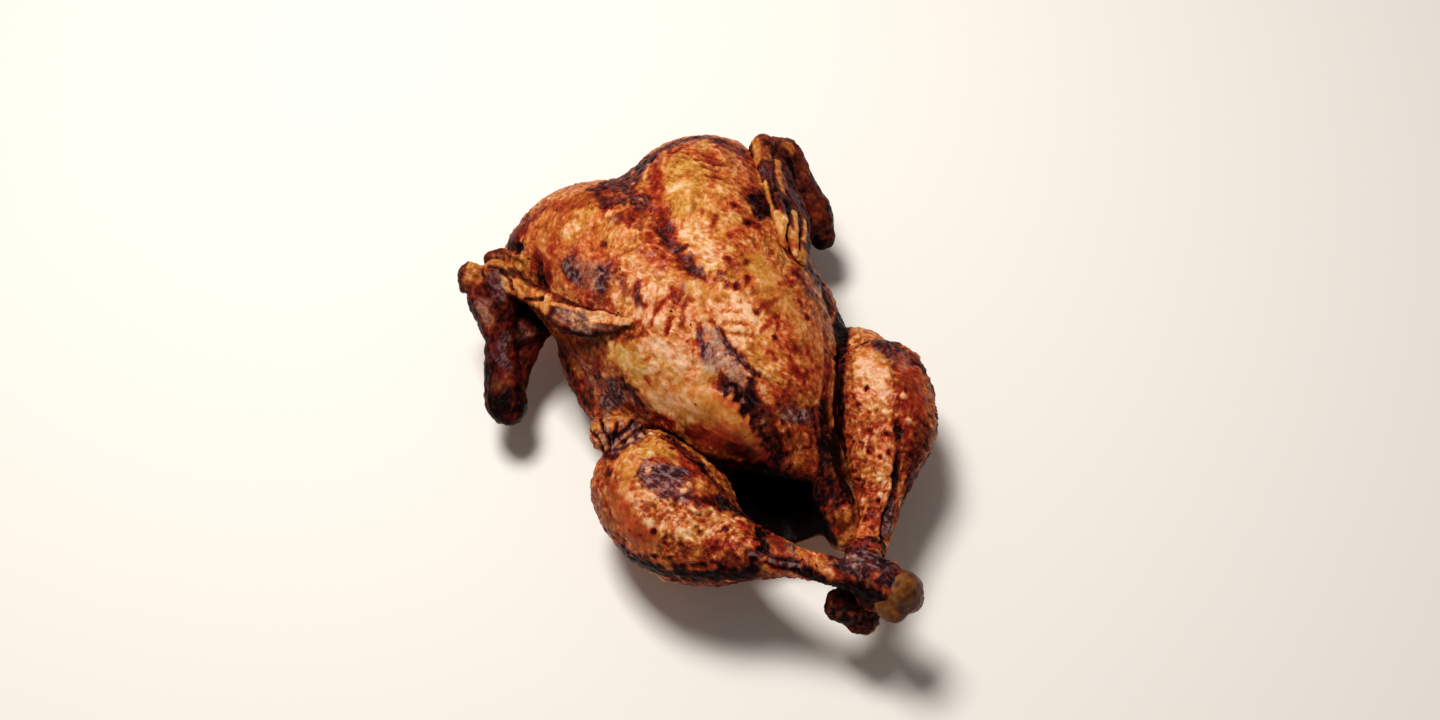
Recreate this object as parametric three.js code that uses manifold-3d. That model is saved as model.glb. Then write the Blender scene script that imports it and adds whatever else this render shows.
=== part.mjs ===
// A whole roast chicken lying on its back: breast up, wings folded with their tips laid against the breast,
// legs crossed in front of the open body cavity. It is one solid. Units are millimetres, +Z is up, +Y runs
// towards the neck and -Y towards the legs, +X is the side of the right-hand leg seen from the legs, and
// the origin is on the flat spot under the back.
import * as THREE from "three";
import { mergeVertices } from "three/addons/utils/BufferGeometryUtils.js";
import Module from "manifold-3d";

// Driving dimensions. A point is [x, y, z], and the radii along a path are evenly spaced from its start to
// its end.
const bodyWidth = 132; // across the breast
const bodyHeight = 106; // from the table to the top of the breast
const neckEnd = 112; // how far the furrow between the breast lobes reaches towards the neck
const lobeLeads = { left: 12, right: 14 }; // how much further forward each lobe reaches than the furrow
const furrowWidth = 13; // from the middle of the furrow to where it has mostly faded
const keelEnd = -80; // where the breast ends above the cavity
const rumpEnd = -102; // where the back ends
const cavityRadius = 18; // at its mouth
const floorSize = 600; // of the table block that the flat spot is cut with

// The breast and ribs, as evenly spaced sections from the neck to the keel's tail end. Shares are of the
// body's half width or height: how wide, how far the widest level is from the table, where the top and the
// bottom are and how deep the furrow is. A section lies its aside in millimetres off the middle.
const sections = [
  { wide: 0.98, level: 0.48, top: 0.74, bottom: 0.2, furrow: 0.05, aside: -3 },
  { wide: 1.08, level: 0.47, top: 0.9, bottom: 0.12, furrow: 0.07, aside: -4 },
  { wide: 1.03, level: 0.46, top: 0.985, bottom: 0.06, furrow: 0.06, aside: -1 },
  { wide: 0.97, level: 0.45, top: 1.005, bottom: 0.04, furrow: 0.035, aside: 0 },
  { wide: 0.88, level: 0.46, top: 0.99, bottom: 0.06, furrow: 0.015, aside: 0 },
  { wide: 0.73, level: 0.49, top: 0.95, bottom: 0.14, furrow: 0.01, aside: 2 },
  { wide: 0.52, level: 0.54, top: 0.87, bottom: 0.3, furrow: 0.02, aside: 3 },
  { wide: 0.38, level: 0.58, top: 0.74, bottom: 0.42, furrow: 0.03, aside: 5 },
];

const back = {
  path: [[0, 88, 36], [0, 45, 34], [0, 5, 33], [0, -50, 29], [3, rumpEnd, 28]],
  radii: [48, 68, 67, 54, 28],
  thickness: [30, 35, 34, 30, 14],
};

// The loose skin beside the cavity's mouth, from the edge of the breast down to the hip, and where it runs
// on to the tail. The tail is a lump under the mouth.
const flaps = [
  { path: [[20, -62, 62], [15, -82, 54], [9, -102, 40]], radii: [12, 14, 9], thickness: [9, 7, 7] },
  { path: [[13, -84, 58], [11, -98, 52], [8, -112, 42]], radii: [9, 10, 8] },
];
const tail = { at: [3, -104, 24], half: [11, 13, 9] };

const cavity = {
  path: [[-18, -128, 44], [-12, -90, 44], [-6, -50, 46], [0, 0, 48], [0, 34, 48]],
  radii: [1, 1, 1.05, 1.3, 1.2].map((share) => share * cavityRadius),
};

const thighs = [
  { path: [[-34, -78, 26], [-52, -52, 32], [-64, -24, 38]], radii: [22, 26, 21] },
  { path: [[36, -76, 26], [54, -46, 33], [68, -12, 40]], radii: [22, 26, 18] },
];

// Each drumstick runs from the knee through the meat and the bare shank to the ankle. The left one crosses
// on top.
const drumsticks = [
  {
    path: [
      [-62, -15, 40], [-60, -37, 42], [-56, -60, 45], [-46, -85, 51],
      [-29, -104, 58], [-10, -119, 62], [14, -144, 60],
    ],
    radii: [19, 26.5, 29.5, 27, 18.5, 11, 8, 8, 9],
  },
  {
    path: [
      [66, -24, 40], [61, -46, 44], [53, -70, 46], [40, -89, 48],
      [26, -108, 49], [14, -121, 48], [-1, -137, 42],
    ],
    radii: [15, 24, 25.5, 23.5, 17, 11, 8.5, 8.5, 9],
  },
];

// The skin that has rolled up over the left knee.
const kneeRoll = {
  path: [[-67, -7, 42], [-66, -15, 52], [-59, -21, 60], [-51, -22, 63]],
  radii: [7, 8.5, 8.5, 5.5],
};

// The ends of the ankles, where the feet are cut off through the joint, as lumps with their half sizes.
const knuckles = [
  { at: [15, -146, 60], half: [9.5, 9, 12] },
  { at: [11, -147, 57], half: [8, 9, 9] },
  { at: [-5, -136, 41], half: [8.5, 9, 8] },
  { at: [-1, -143, 40], half: [9, 8.5, 8] },
  { at: [6, -140, 44], half: [8, 8, 8] },
  { at: [-9, -135, 40], half: [6, 6, 6] },
  { at: [4, -127, 62], half: [11, 9, 9] },
  { at: [8, -139, 53], half: [10, 9, 10] },
  { at: [12, -121, 55], half: [10, 7, 8] },
];

// A wing is three bars: from shoulder to elbow, from elbow to wrist, and the flat pointed tip from the
// wrist back over the breast. The last two are flat towards flatTo.
const wings = [
  {
    drumette: {
      path: [[-46, 84, 46], [-68, 66, 40], [-86, 52, 31], [-103, 32, 25]],
      radii: [17, 12, 9, 8, 8],
    },
    flat: {
      path: [[-104, 23, 26], [-97, 45, 36], [-89, 65, 48], [-85, 89, 57]],
      radii: [9, 10.5, 10, 8, 12, 12],
      thickness: [10, 10, 8, 8, 11, 10],
      flatTo: [-1, 0, 0.5],
    },
    tip: {
      path: [[-84, 92, 58], [-75, 74, 63], [-66, 56, 68], [-59, 36, 77], [-48, 22, 87], [-38, 12, 96]],
      radii: [11, 6.5, 5.5, 8, 7.5, 6, 2],
      thickness: [9, 6, 4.5, 4.5, 4, 3.5, 2],
      flatTo: [-0.5, 0, 0.9],
    },
  },
  {
    drumette: { path: [[50, 88, 46], [66, 66, 40], [79, 46, 33]], radii: [16, 13, 11.5, 10.5] },
    flat: {
      path: [[80, 46, 32], [81, 61, 42], [80, 75, 52], [76, 93, 60]],
      radii: [10, 12, 11.5, 9, 11, 11],
      thickness: [11, 12, 10, 9, 11, 10],
      flatTo: [1, 0, 0.5],
    },
    tip: {
      path: [[73, 94, 62], [64, 78, 71], [58, 60, 80], [52, 43, 87], [48, 29, 90], [44, 16, 91]],
      radii: [9, 6, 4.2, 3.8, 3.8, 3.4, 2],
      thickness: [9, 7, 4.5, 4, 4, 4, 3],
      flatTo: [0.5, 0, 0.9],
    },
  },
];

const point = (p) => new THREE.Vector3(...p);

/** A value eased smoothly through evenly spaced ones, t from 0 to 1. */
function eased(values, t) {
  return new THREE.SplineCurve(values.map((value, i) => new THREE.Vector2(value, i))).getPoint(t).x;
}

/** How much of a section is left near the rounded ends of a form: each end takes its share of the length. */
function rounding(t, startShare, endShare = startShare) {
  const reach = Math.min(1, t / startShare, (1 - t) / endShare);
  return Math.sqrt(Math.max(0, 1 - (1 - reach) ** 2));
}

/** A sphere with its vertices moved by place(t, across, over), t from pole to pole and the pair a unit ring. */
function movedSphere(sides, rings, place) {
  const geometry = new THREE.SphereGeometry(1, sides, rings);
  const corners = geometry.getAttribute("position");
  for (let i = 0; i < corners.count; i++) {
    const t = THREE.MathUtils.clamp((1 - corners.getY(i)) / 2, 0, 1);
    const ring = new THREE.Vector2(corners.getX(i), corners.getZ(i)).normalize();
    const at = place(t, ring.x, ring.y);
    corners.setXYZ(i, at.x, at.y, at.z);
  }
  return geometry;
}

/** A form drawn out along a path, with a width and a thickness that change along it and rounded ends. */
function drawnOut({ path, radii, thickness = radii, flatTo = [0, 0, 1] }, sides, rings, roundShare = 0.14) {
  const curve = new THREE.CatmullRomCurve3(path.map(point), false, "centripetal");
  return movedSphere(sides, rings, (t, across, over) => {
    const tangent = curve.getTangentAt(t);
    const sideways = new THREE.Vector3().crossVectors(tangent, point(flatTo)).normalize();
    const upwards = new THREE.Vector3().crossVectors(sideways, tangent);
    const at = curve.getPointAt(t);
    at.addScaledVector(sideways, across * rounding(t, roundShare) * eased(radii, t));
    return at.addScaledVector(upwards, over * rounding(t, roundShare) * eased(thickness, t));
  });
}

/** The breast and ribs, lofted through the sections. */
function breast(sides, rings) {
  const of = (name, t) => eased(sections.map((section) => section[name]), t);
  return movedSphere(sides, rings, (t, across, over) => {
    const round = rounding(t, 0.15, 0.2);
    const level = of("level", t);
    const offMiddle = (across * round * of("wide", t) * bodyWidth) / 2;
    const nearFurrow = Math.exp(-((offMiddle / furrowWidth) ** 2));
    const lobeLead = offMiddle < 0 ? lobeLeads.left : lobeLeads.right;
    const lead = lobeLead * (1 - Math.exp(-((offMiddle / furrowWidth / 2) ** 2))) * Math.exp(-5 * t);
    const reach = over > 0 ? of("top", t) - level : level - of("bottom", t);
    const hollow = Math.max(0, over) * of("furrow", t) * nearFurrow;
    return new THREE.Vector3(
      of("aside", t) + offMiddle,
      THREE.MathUtils.lerp(neckEnd, keelEnd, t) + lead,
      bodyHeight * (level + over * round * reach - hollow),
    );
  });
}

const wasm = await Module();
wasm.setup();

/** A closed geometry as a manifold-3d solid with its faces out. */
function solid(geometry) {
  const bare = geometry.clone();
  bare.deleteAttribute("normal");
  bare.deleteAttribute("uv");
  const merged = mergeVertices(bare, 1e-4);
  const corners = new Uint32Array(merged.index.array);
  const made = (triVerts) =>
    new wasm.Manifold(
      new wasm.Mesh({ numProp: 3, vertProperties: merged.getAttribute("position").array, triVerts }),
    );
  const asDrawn = made(corners);
  return asDrawn.volume() > 0 ? asDrawn : made(corners.reverse());
}

/** A solid's surface as a three.js geometry. */
function geometryOf(made) {
  const { vertProperties, triVerts } = made.getMesh();
  const geometry = new THREE.BufferGeometry();
  geometry.setAttribute("position", new THREE.BufferAttribute(vertProperties, 3));
  geometry.setIndex(new THREE.BufferAttribute(triVerts, 1));
  geometry.computeVertexNormals();
  return geometry;
}

function looseSkin(flap) {
  return drawnOut({ ...flap, flatTo: [1, 0, 0.3] }, 12, 10);
}

function carcass() {
  const hollow = solid(drawnOut(cavity, 24, 18));
  const forms = [breast(44, 29), drawnOut(back, 24, 14), ...flaps.map(looseSkin), lump(tail)];
  return forms.map(solid).reduce((joined, form) => joined.add(form)).subtract(hollow);
}

function leg(side) {
  return [drawnOut(thighs[side], 16, 10, 0.3), drawnOut(drumsticks[side], 16, 23)];
}

function wing({ drumette, flat, tip }) {
  return [drawnOut(drumette, 12, 10), drawnOut(flat, 14, 14), drawnOut(tip, 10, 16)];
}

function lump({ at, half }) {
  return new THREE.SphereGeometry(1, 10, 7).scale(...half).translate(...at);
}

const legs = [...leg(0), ...leg(1), drawnOut(kneeRoll, 12, 10), ...knuckles.map(lump)];
const limbs = [...legs, ...wings.flatMap(wing)];
const floor = new THREE.BoxGeometry(floorSize, floorSize, floorSize).translate(0, 0, -floorSize / 2);
const bird = limbs.reduce((joined, limb) => joined.add(solid(limb)), carcass()).subtract(solid(floor));

const roastSkin = new THREE.MeshStandardMaterial({ color: 0xa8642c, roughness: 0.45, metalness: 0 });
const chicken = new THREE.Mesh(geometryOf(bird), roastSkin);
chicken.name = "chicken";

const group = new THREE.Group();
group.add(chicken);
export default group;
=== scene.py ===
# A whole roast chicken on its back, breast up, wings folded and legs crossed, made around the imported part.
# Shapes are worked out in millimetres in the part's frame (+Z up, +Y neck, -Y legs) and written in metres.
import math
from functools import partial

import bpy
import numpy as np
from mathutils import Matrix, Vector
from mathutils.bvhtree import BVHTree


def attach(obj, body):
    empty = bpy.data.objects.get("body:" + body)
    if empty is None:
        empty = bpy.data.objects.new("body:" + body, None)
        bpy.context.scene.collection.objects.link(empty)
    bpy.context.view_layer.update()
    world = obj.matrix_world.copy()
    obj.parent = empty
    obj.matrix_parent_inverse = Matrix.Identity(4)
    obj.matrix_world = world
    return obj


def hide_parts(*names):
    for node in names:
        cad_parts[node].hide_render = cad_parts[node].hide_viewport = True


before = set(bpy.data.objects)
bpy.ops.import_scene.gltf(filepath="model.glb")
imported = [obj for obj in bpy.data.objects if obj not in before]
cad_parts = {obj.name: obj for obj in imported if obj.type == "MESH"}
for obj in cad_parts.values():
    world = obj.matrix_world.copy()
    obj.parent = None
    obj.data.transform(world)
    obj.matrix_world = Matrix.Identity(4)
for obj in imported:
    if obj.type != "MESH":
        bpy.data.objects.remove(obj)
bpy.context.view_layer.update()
scene = bpy.context.scene
mm = 0.001
print("frame loaded")

viewpoint = {
    "azimuth": -27,  # degrees round from the legs' side
    "elevation": 63,
    "lens": 40,
    "sensor": 36,
    "lookAt": (0, 0, 45),
    "pixelsPerMm": 2.05,  # at the point looked at
    "frameSize": (1440, 720),
    "nearest": 0.01,
}


def cameraAxes():
    turn, rise = math.radians(viewpoint["azimuth"]), math.radians(viewpoint["elevation"])
    back = np.array([math.sin(turn) * math.cos(rise), -math.cos(turn) * math.cos(rise), math.sin(rise)])
    right = np.array([math.cos(turn), math.sin(turn), 0.0])
    return right, np.cross(back, right), back


cameraRight, cameraUp, cameraBack = cameraAxes()
focalPixels = viewpoint["frameSize"][0] * viewpoint["lens"] / viewpoint["sensor"]
cameraEye = np.array(viewpoint["lookAt"]) + cameraBack * focalPixels / viewpoint["pixelsPerMm"]


def sightLine(pixel):
    # the direction in which the camera sees a pixel of its frame
    width, height = viewpoint["frameSize"]
    across, down = (pixel[0] - width / 2) / focalPixels, (pixel[1] - height / 2) / focalPixels
    line = across * cameraRight - down * cameraUp - cameraBack
    return line / np.linalg.norm(line)


cameraData = bpy.data.cameras.new("camera")
cameraData.lens = viewpoint["lens"]
cameraData.sensor_width = viewpoint["sensor"]
cameraData.clip_start = viewpoint["nearest"]
cameraObject = bpy.data.objects.new("camera", cameraData)
scene.collection.objects.link(cameraObject)
cameraObject.location = Vector(cameraEye * mm)
cameraObject.rotation_euler = Vector(cameraBack).to_track_quat("Z", "Y").to_euler()
scene.camera = cameraObject


def eased(values, t):
    # evenly spaced values, eased smoothly from one to the next, t from 0 to 1
    values = np.asarray(values, float)
    last = len(values) - 1
    place = np.clip(t, 0, 1) * last
    step = np.minimum(place.astype(int), last - 1)
    part = place - step
    before, start, end, after = (values[np.clip(step + k, 0, last)] for k in (-1, 0, 1, 2))
    leave, arrive = (end - before) / 2, (after - start) / 2
    cubic = (2 * start - 2 * end + leave + arrive) * part**3
    return cubic + (3 * end - 3 * start - 2 * leave - arrive) * part**2 + leave * part + start


def smoothPath(corners, stepsEach=40):
    # a centripetal curve through the corners, as points with their shares of its length
    corners = np.asarray(corners, float)
    held = np.vstack([2 * corners[0] - corners[1], corners, 2 * corners[-1] - corners[-2]])
    part = np.linspace(0, 1, stepsEach, endpoint=False)[:, None]
    runs = []
    for a, b, c, d in zip(held, held[1:], held[2:], held[3:]):
        ab, bc, cd = (math.sqrt(np.linalg.norm(q - p)) for p, q in ((a, b), (b, c), (c, d)))
        leave = ((b - a) / ab - (c - a) / (ab + bc) + (c - b) / bc) * bc
        arrive = ((c - b) / bc - (d - b) / (bc + cd) + (d - c) / cd) * bc
        cubic = (2 * b - 2 * c + leave + arrive) * part**3
        runs.append(cubic + (3 * c - 3 * b - 2 * leave - arrive) * part**2 + leave * part + b)
    line = np.vstack(runs + [corners[-1:]])
    length = np.append(0, np.cumsum(np.linalg.norm(np.diff(line, axis=0), axis=1)))
    return line, length / length[-1]


def rounding(t, startShare, endShare):
    # how much of a section is left near a form's rounded ends
    reach = np.minimum(1, np.minimum(t / startShare, (1 - t) / endShare))
    return np.sqrt(np.maximum(0, 1 - (1 - reach) ** 2))


def ringGrid(sides, rings):
    # shares along a form, from pole to pole, and the unit ring round it
    t = (1 - np.cos(np.linspace(0, math.pi, rings + 1))) / 2
    turn = np.linspace(0, 2 * math.pi, sides, endpoint=False)
    return t[:, None], np.cos(turn)[None, :], np.sin(turn)[None, :]


def closedForm(grid):
    # the corners and faces of a form from its rings, with one corner at each pole
    rings, sides = grid.shape[:2]
    corners = np.vstack([grid[0, :1], grid[1:-1].reshape(-1, 3), grid[-1, :1]])
    faces = []
    for ring in range(rings - 2):
        here = 1 + ring * sides
        for side in range(sides):
            nextSide = (side + 1) % sides
            if ring == 0:
                faces.append((0, here + side, here + nextSide))
            if ring == rings - 3:
                faces.append((here + side, len(corners) - 1, here + nextSide))
            else:
                faces.append((here + side, here + sides + side, here + sides + nextSide, here + nextSide))
    return corners, faces


def drawnOut(path, radii, thickness=None, flatTo=(0, 0, 1), roundShare=0.14, sides=64, rings=72):
    # a rounded form along a path, radii wide and flattened towards flatTo where it is given a thickness
    line, share = smoothPath(path)
    t, across, over = ringGrid(sides, rings)
    at = np.stack([np.interp(t[:, 0], share, line[:, k]) for k in range(3)], 1)
    way = np.gradient(at, axis=0)
    way[0], way[-1] = line[1] - line[0], line[-1] - line[-2]
    way /= np.linalg.norm(way, axis=1)[:, None]
    sideways = np.cross(way, flatTo)
    sideways /= np.linalg.norm(sideways, axis=1)[:, None]
    upwards = np.cross(sideways, way)
    left = rounding(t, roundShare, roundShare)
    wide = left * eased(radii, t) * across
    thick = left * eased(thickness or radii, t) * over
    grid = at[:, None] + sideways[:, None] * wide[..., None] + upwards[:, None] * thick[..., None]
    return closedForm(grid)


def lump(at, half, sides=32, rings=20):
    t, across, over = ringGrid(sides, rings)
    left = 2 * np.sqrt(t * (1 - t))
    grid = np.stack([across * left, over * left, np.broadcast_to(2 * t - 1, (rings + 1, sides))], 2)
    return closedForm(grid * np.asarray(half, float) + np.asarray(at, float))


def meshObject(name, forms):
    corners, faces = [], []
    for formCorners, formFaces in forms:
        start = sum(map(len, corners))
        corners.append(formCorners)
        faces += [tuple(start + corner for corner in face) for face in formFaces]
    mesh = bpy.data.meshes.new(name)
    mesh.from_pydata((np.vstack(corners) * mm).tolist(), [], faces)
    mesh.validate()
    made = bpy.data.objects.new(name, mesh)
    scene.collection.objects.link(made)
    return made


def finished(made):
    # the object with its modifiers applied, as a plain mesh
    graph = bpy.context.evaluated_depsgraph_get()
    was = made.data
    made.data = bpy.data.meshes.new_from_object(made.evaluated_get(graph), depsgraph=graph)
    made.data.name = made.name
    made.modifiers.clear()
    bpy.data.meshes.remove(was)
    return made


def grownTogether(made, voxel, smoothing):
    # overlapping forms become one even skin, smoothed where they meet
    fuse = made.modifiers.new("fuse", "REMESH")
    fuse.mode = "VOXEL"
    fuse.voxel_size = voxel * mm
    soften = made.modifiers.new("soften", "SMOOTH")
    soften.factor = 0.5
    soften.iterations = smoothing
    return finished(made)


def cornerValues(made, kind):
    # what a mesh holds for its corners under that name, one row of three for each
    values = np.empty(len(made.data.vertices) * 3, np.float32)
    made.data.vertices.foreach_get(kind, values)
    return values.reshape(-1, 3).astype(float)


def setCorners(made, points):
    made.data.vertices.foreach_set("co", (points * mm).astype(np.float32).ravel())
    made.data.update()


def unevenness(points, size, seed, waveCount=20):
    # a smooth random field with features of about that size, spread about 0 with a deviation of 1
    dice = np.random.default_rng(seed)
    waves = dice.normal(size=(waveCount, 3))
    waves *= (2 * math.pi / size / np.linalg.norm(waves, axis=1) * dice.uniform(0.6, 1.5, waveCount))[:, None]
    starts = dice.uniform(0, 2 * math.pi, waveCount)
    return np.sin(points @ waves.T + starts).sum(1) / math.sqrt(waveCount / 2)


# Marks are the patches, folds and creases laid on a piece. A mark runs along pixels where the camera sees it
# ("seen"), along points near the skin ("at") or along points inside the piece ("through"). It takes the skin
# towards its own values within "wide" millimetres, fading over "soft", with an edge as "ragged" as it says,
# and "lift" raises it (or presses it in) by millimetres.
# The third channel holds the skin's smoky violet-grey tone, and marks also use it to paint glints and sheen.
channels = ("browning", "redness", "smoke", "crackle", "juice")
markSteps = {"seen": 4, "at": 2}  # pixels or millimetres between the places looked up along a mark
longestStep = {"seen": 12, "at": 1000, "through": 1000}  # millimetres; beyond it the line has jumped


def skinSeen(pixel, tree, headStart=60, step=6, steps=24):
    # where the camera sees the piece at a pixel, or else the place on it that is nearest to that line
    line = sightLine(pixel)
    hit = tree.ray_cast(Vector(cameraEye), Vector(line))
    if hit[0] is None:
        depth = np.linalg.norm(cameraEye) - headStart
        tries = [tree.find_nearest(Vector(cameraEye + line * (depth + step * k))) for k in range(steps)]
        hit = min(tries, key=lambda found: found[3])
    return hit[:2]


def alongMark(kind, stops, tree):
    # points a few millimetres apart on the piece's surface, with the surface's normals there
    stops = np.asarray(stops, float)
    if kind == "through":
        return stops, None
    on = []
    for start, end in zip(stops, stops[1:] if len(stops) > 1 else stops):
        for part in np.linspace(0, 1, max(2, int(np.linalg.norm(end - start) / markSteps[kind]))):
            place = start + (end - start) * part
            on.append(skinSeen(place, tree) if kind == "seen" else tree.find_nearest(Vector(place))[:2])
    return np.array([list(hit) for hit, _ in on]), np.array([list(normal) for _, normal in on])


def nearness(points, line, longest):
    # the distance of each point from a polyline, and the nearest of its corners; a step longer than "longest"
    # is a jump from one part of the surface to another, and nothing lies along it
    best = np.full(len(points), 1e9)
    which = np.zeros(len(points), int)
    for k in range(max(1, len(line) - 1)):
        start, run = line[k], line[min(k + 1, len(line) - 1)] - line[k]
        if run @ run > longest**2:
            run = run * 0
        part = np.clip((points - start) @ run / max(run @ run, 1e-9), 0, 1)
        away = np.linalg.norm(points - start - part[:, None] * run, axis=1)
        closer = away < best
        best[closer] = away[closer]
        which[closer] = k
    return best, which


def fade(value, start, end):
    part = np.clip((value - start) / (end - start), 0, 1)
    return part * part * (3 - 2 * part)


def dressed(made, base, marks, seed):
    # lays the marks on a piece, in their order: lifts its corners and stores the channels on them
    points, normals = cornerValues(made, "co") / mm, cornerValues(made, "normal")
    faces = [tuple(face.vertices) for face in made.data.polygons]
    tree = BVHTree.FromPolygons(points.tolist(), faces)
    fields = {name: np.full(len(points), float(base.get(name, 0))) for name in channels}
    lift = np.zeros(len(points))
    for number, mark in enumerate(marks.values()):
        line, lineNormals = alongMark(mark["kind"], mark["places"], tree)
        wide, soft, ragged = mark["wide"], mark["soft"], mark.get("ragged", 0)
        reach = 1.8 * wide + soft + 2 * ragged
        near = np.flatnonzero(((points > line.min(0) - reach) & (points < line.max(0) + reach)).all(1))
        if not len(near):
            continue
        away, which = nearness(points[near], line, longestStep[mark["kind"]])
        facing = 1 if lineNormals is None else fade((normals[near] * lineNormals[which]).sum(1), -0.2, 0.35)
        if "lift" in mark:
            lift[near] += mark["lift"] * np.exp(-((away / wide) ** 2)) * facing
        if ragged:
            away += ragged * unevenness(points[near], 2.2 * ragged + 2, seed * 100 + number)
        share = (1 - fade(away, wide - soft / 2, wide + soft / 2)) * facing * mark.get("strength", 1)
        for name in channels:
            if mark.get(name) is not None:
                fields[name][near] += (mark[name] - fields[name][near]) * share
    setCorners(made, points + normals * lift[:, None])
    for name, values in fields.items():
        stored = made.data.attributes.new(name, "FLOAT", "POINT")
        stored.data.foreach_set("value", values.astype(np.float32))


def markOf(kind, places, wide, soft, browning=None, redness=None, **look):
    # where a mark runs, how wide and how soft it is, the browning and redness it brings and what else it does
    return {"kind": kind, "places": places, "wide": wide, "soft": soft, "browning": browning,
            "redness": redness, **look}


seen, at, through = (partial(markOf, kind) for kind in ("seen", "at", "through"))


def several(name, *sizesAndColours, runs, **look):
    # one mark for each run of pixels; a lone pixel makes a spot
    runs = [run if isinstance(run, list) else [run] for run in runs]
    return {f"{name}{k}": seen(run, *sizesAndColours, **look) for k, run in enumerate(runs)}


def fanned(name, first, last, count, seed, jitter, lift, **look):
    # marks laid evenly from one line to another, as folds or ripples lie beside each other
    dice = np.random.default_rng(seed)
    first, last = np.asarray(first, float), np.asarray(last, float)
    made = {}
    for k in range(count):
        part = (k + 0.5 + dice.uniform(-0.3, 0.3)) / count
        line = first + (last - first) * part + dice.normal(size=first.shape) * jitter
        made[f"{name}{k}"] = seen(line.tolist(), lift=lift * dice.uniform(0.7, 1.3), **look)
    return made


# the carcass: breast, back and thighs, open at the cavity
carcass = {
    "bodyWidth": 132,
    "bodyHeight": 106,
    "neckEnd": 112,
    "leftLobeLead": 12,
    "rightLobeLead": 14,
    "furrowWidth": 13,
    "keelEnd": -80,
    "rumpEnd": -96,
    "cavityRadius": 18,
    "firstVoxel": 1.6,  # before the cavity is cut
    "firstSmoothing": 8,
    "voxel": 1.25,
    "smoothing": 6,
    # evenly spaced sections from the neck to the keel's tail end, in shares of half the width and the height
    "wide": (0.98, 1.08, 1.03, 0.97, 0.88, 0.73, 0.52, 0.38),
    "level": (0.48, 0.47, 0.46, 0.45, 0.46, 0.49, 0.54, 0.58),
    "top": (0.74, 0.9, 0.985, 1.005, 0.99, 0.95, 0.87, 0.74),
    "bottom": (0.2, 0.12, 0.06, 0.04, 0.06, 0.14, 0.3, 0.42),
    "furrow": (0.05, 0.07, 0.06, 0.035, 0.015, 0.01, 0.02, 0.03),
    "aside": (-3, -4, -1, 0, 0, 2, 3, 5),
}


def breastForm(sides=150, rings=130):
    t, across, over = ringGrid(sides, rings)
    wide, level, top, bottom, furrow, aside = (
        eased(carcass[name], t) for name in ("wide", "level", "top", "bottom", "furrow", "aside"))
    left = rounding(t, 0.15, 0.2)
    offMiddle = across * left * wide * carcass["bodyWidth"] / 2
    nearFurrow = np.exp(-((offMiddle / carcass["furrowWidth"]) ** 2))
    lobeLead = np.where(offMiddle < 0, carcass["leftLobeLead"], carcass["rightLobeLead"])
    lead = lobeLead * (1 - np.exp(-((offMiddle / carcass["furrowWidth"] / 2) ** 2))) * np.exp(-5 * t)
    reach = np.where(over > 0, top - level, level - bottom)
    hollow = np.maximum(0, over) * furrow * nearFurrow
    along = carcass["neckEnd"] + (carcass["keelEnd"] - carcass["neckEnd"]) * t + lead
    height = carcass["bodyHeight"] * (level + over * left * reach - hollow)
    return closedForm(np.stack([aside + offMiddle, along, height], 2))


carcassForms = [
    breastForm(),
    drawnOut([(0, 88, 36), (0, 45, 34), (0, 5, 33), (0, -50, 29), (3, carcass["rumpEnd"], 28)],
             (48, 68, 67, 54, 28), (30, 35, 34, 30, 14), sides=120),
    drawnOut([(20, -62, 62), (15, -82, 54), (9, -102, 40)], (12, 14, 9), (9, 7, 7), (1, 0, 0.3)),
    drawnOut([(-34, -78, 26), (-52, -52, 32), (-64, -24, 38)], (22, 26, 21), roundShare=0.3),
    drawnOut([(36, -76, 26), (54, -46, 33), (68, -12, 40)], (22, 26, 18), roundShare=0.3),
    lump((14, -101, 30), (9, 12, 9)),  # the tail
    drawnOut([(13, -84, 58), (11, -98, 52), (8, -112, 42)], (9, 10, 8), flatTo=(1, 0, 0.3)),  # on to the tail
]
cavityForm = drawnOut([(-18, -128, 44), (-12, -90, 44), (-6, -50, 46), (0, 0, 48), (0, 34, 48)],
                      [share * carcass["cavityRadius"] for share in (1, 1, 1.05, 1.3, 1.2)],
                      sides=48, rings=60)


def hollowedCarcass():
    body = grownTogether(meshObject("carcass", carcassForms), carcass["firstVoxel"],
                         carcass["firstSmoothing"])
    hollow = meshObject("hollow", [cavityForm])
    cut = body.modifiers.new("cut", "BOOLEAN")
    cut.operation = "DIFFERENCE"
    cut.solver = "MANIFOLD"
    cut.object = hollow
    finished(body)
    bpy.data.objects.remove(hollow)
    return grownTogether(body, carcass["voxel"], carcass["smoothing"])


carcassBody = hollowedCarcass()
print("carcass", len(carcassBody.data.vertices))

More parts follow.
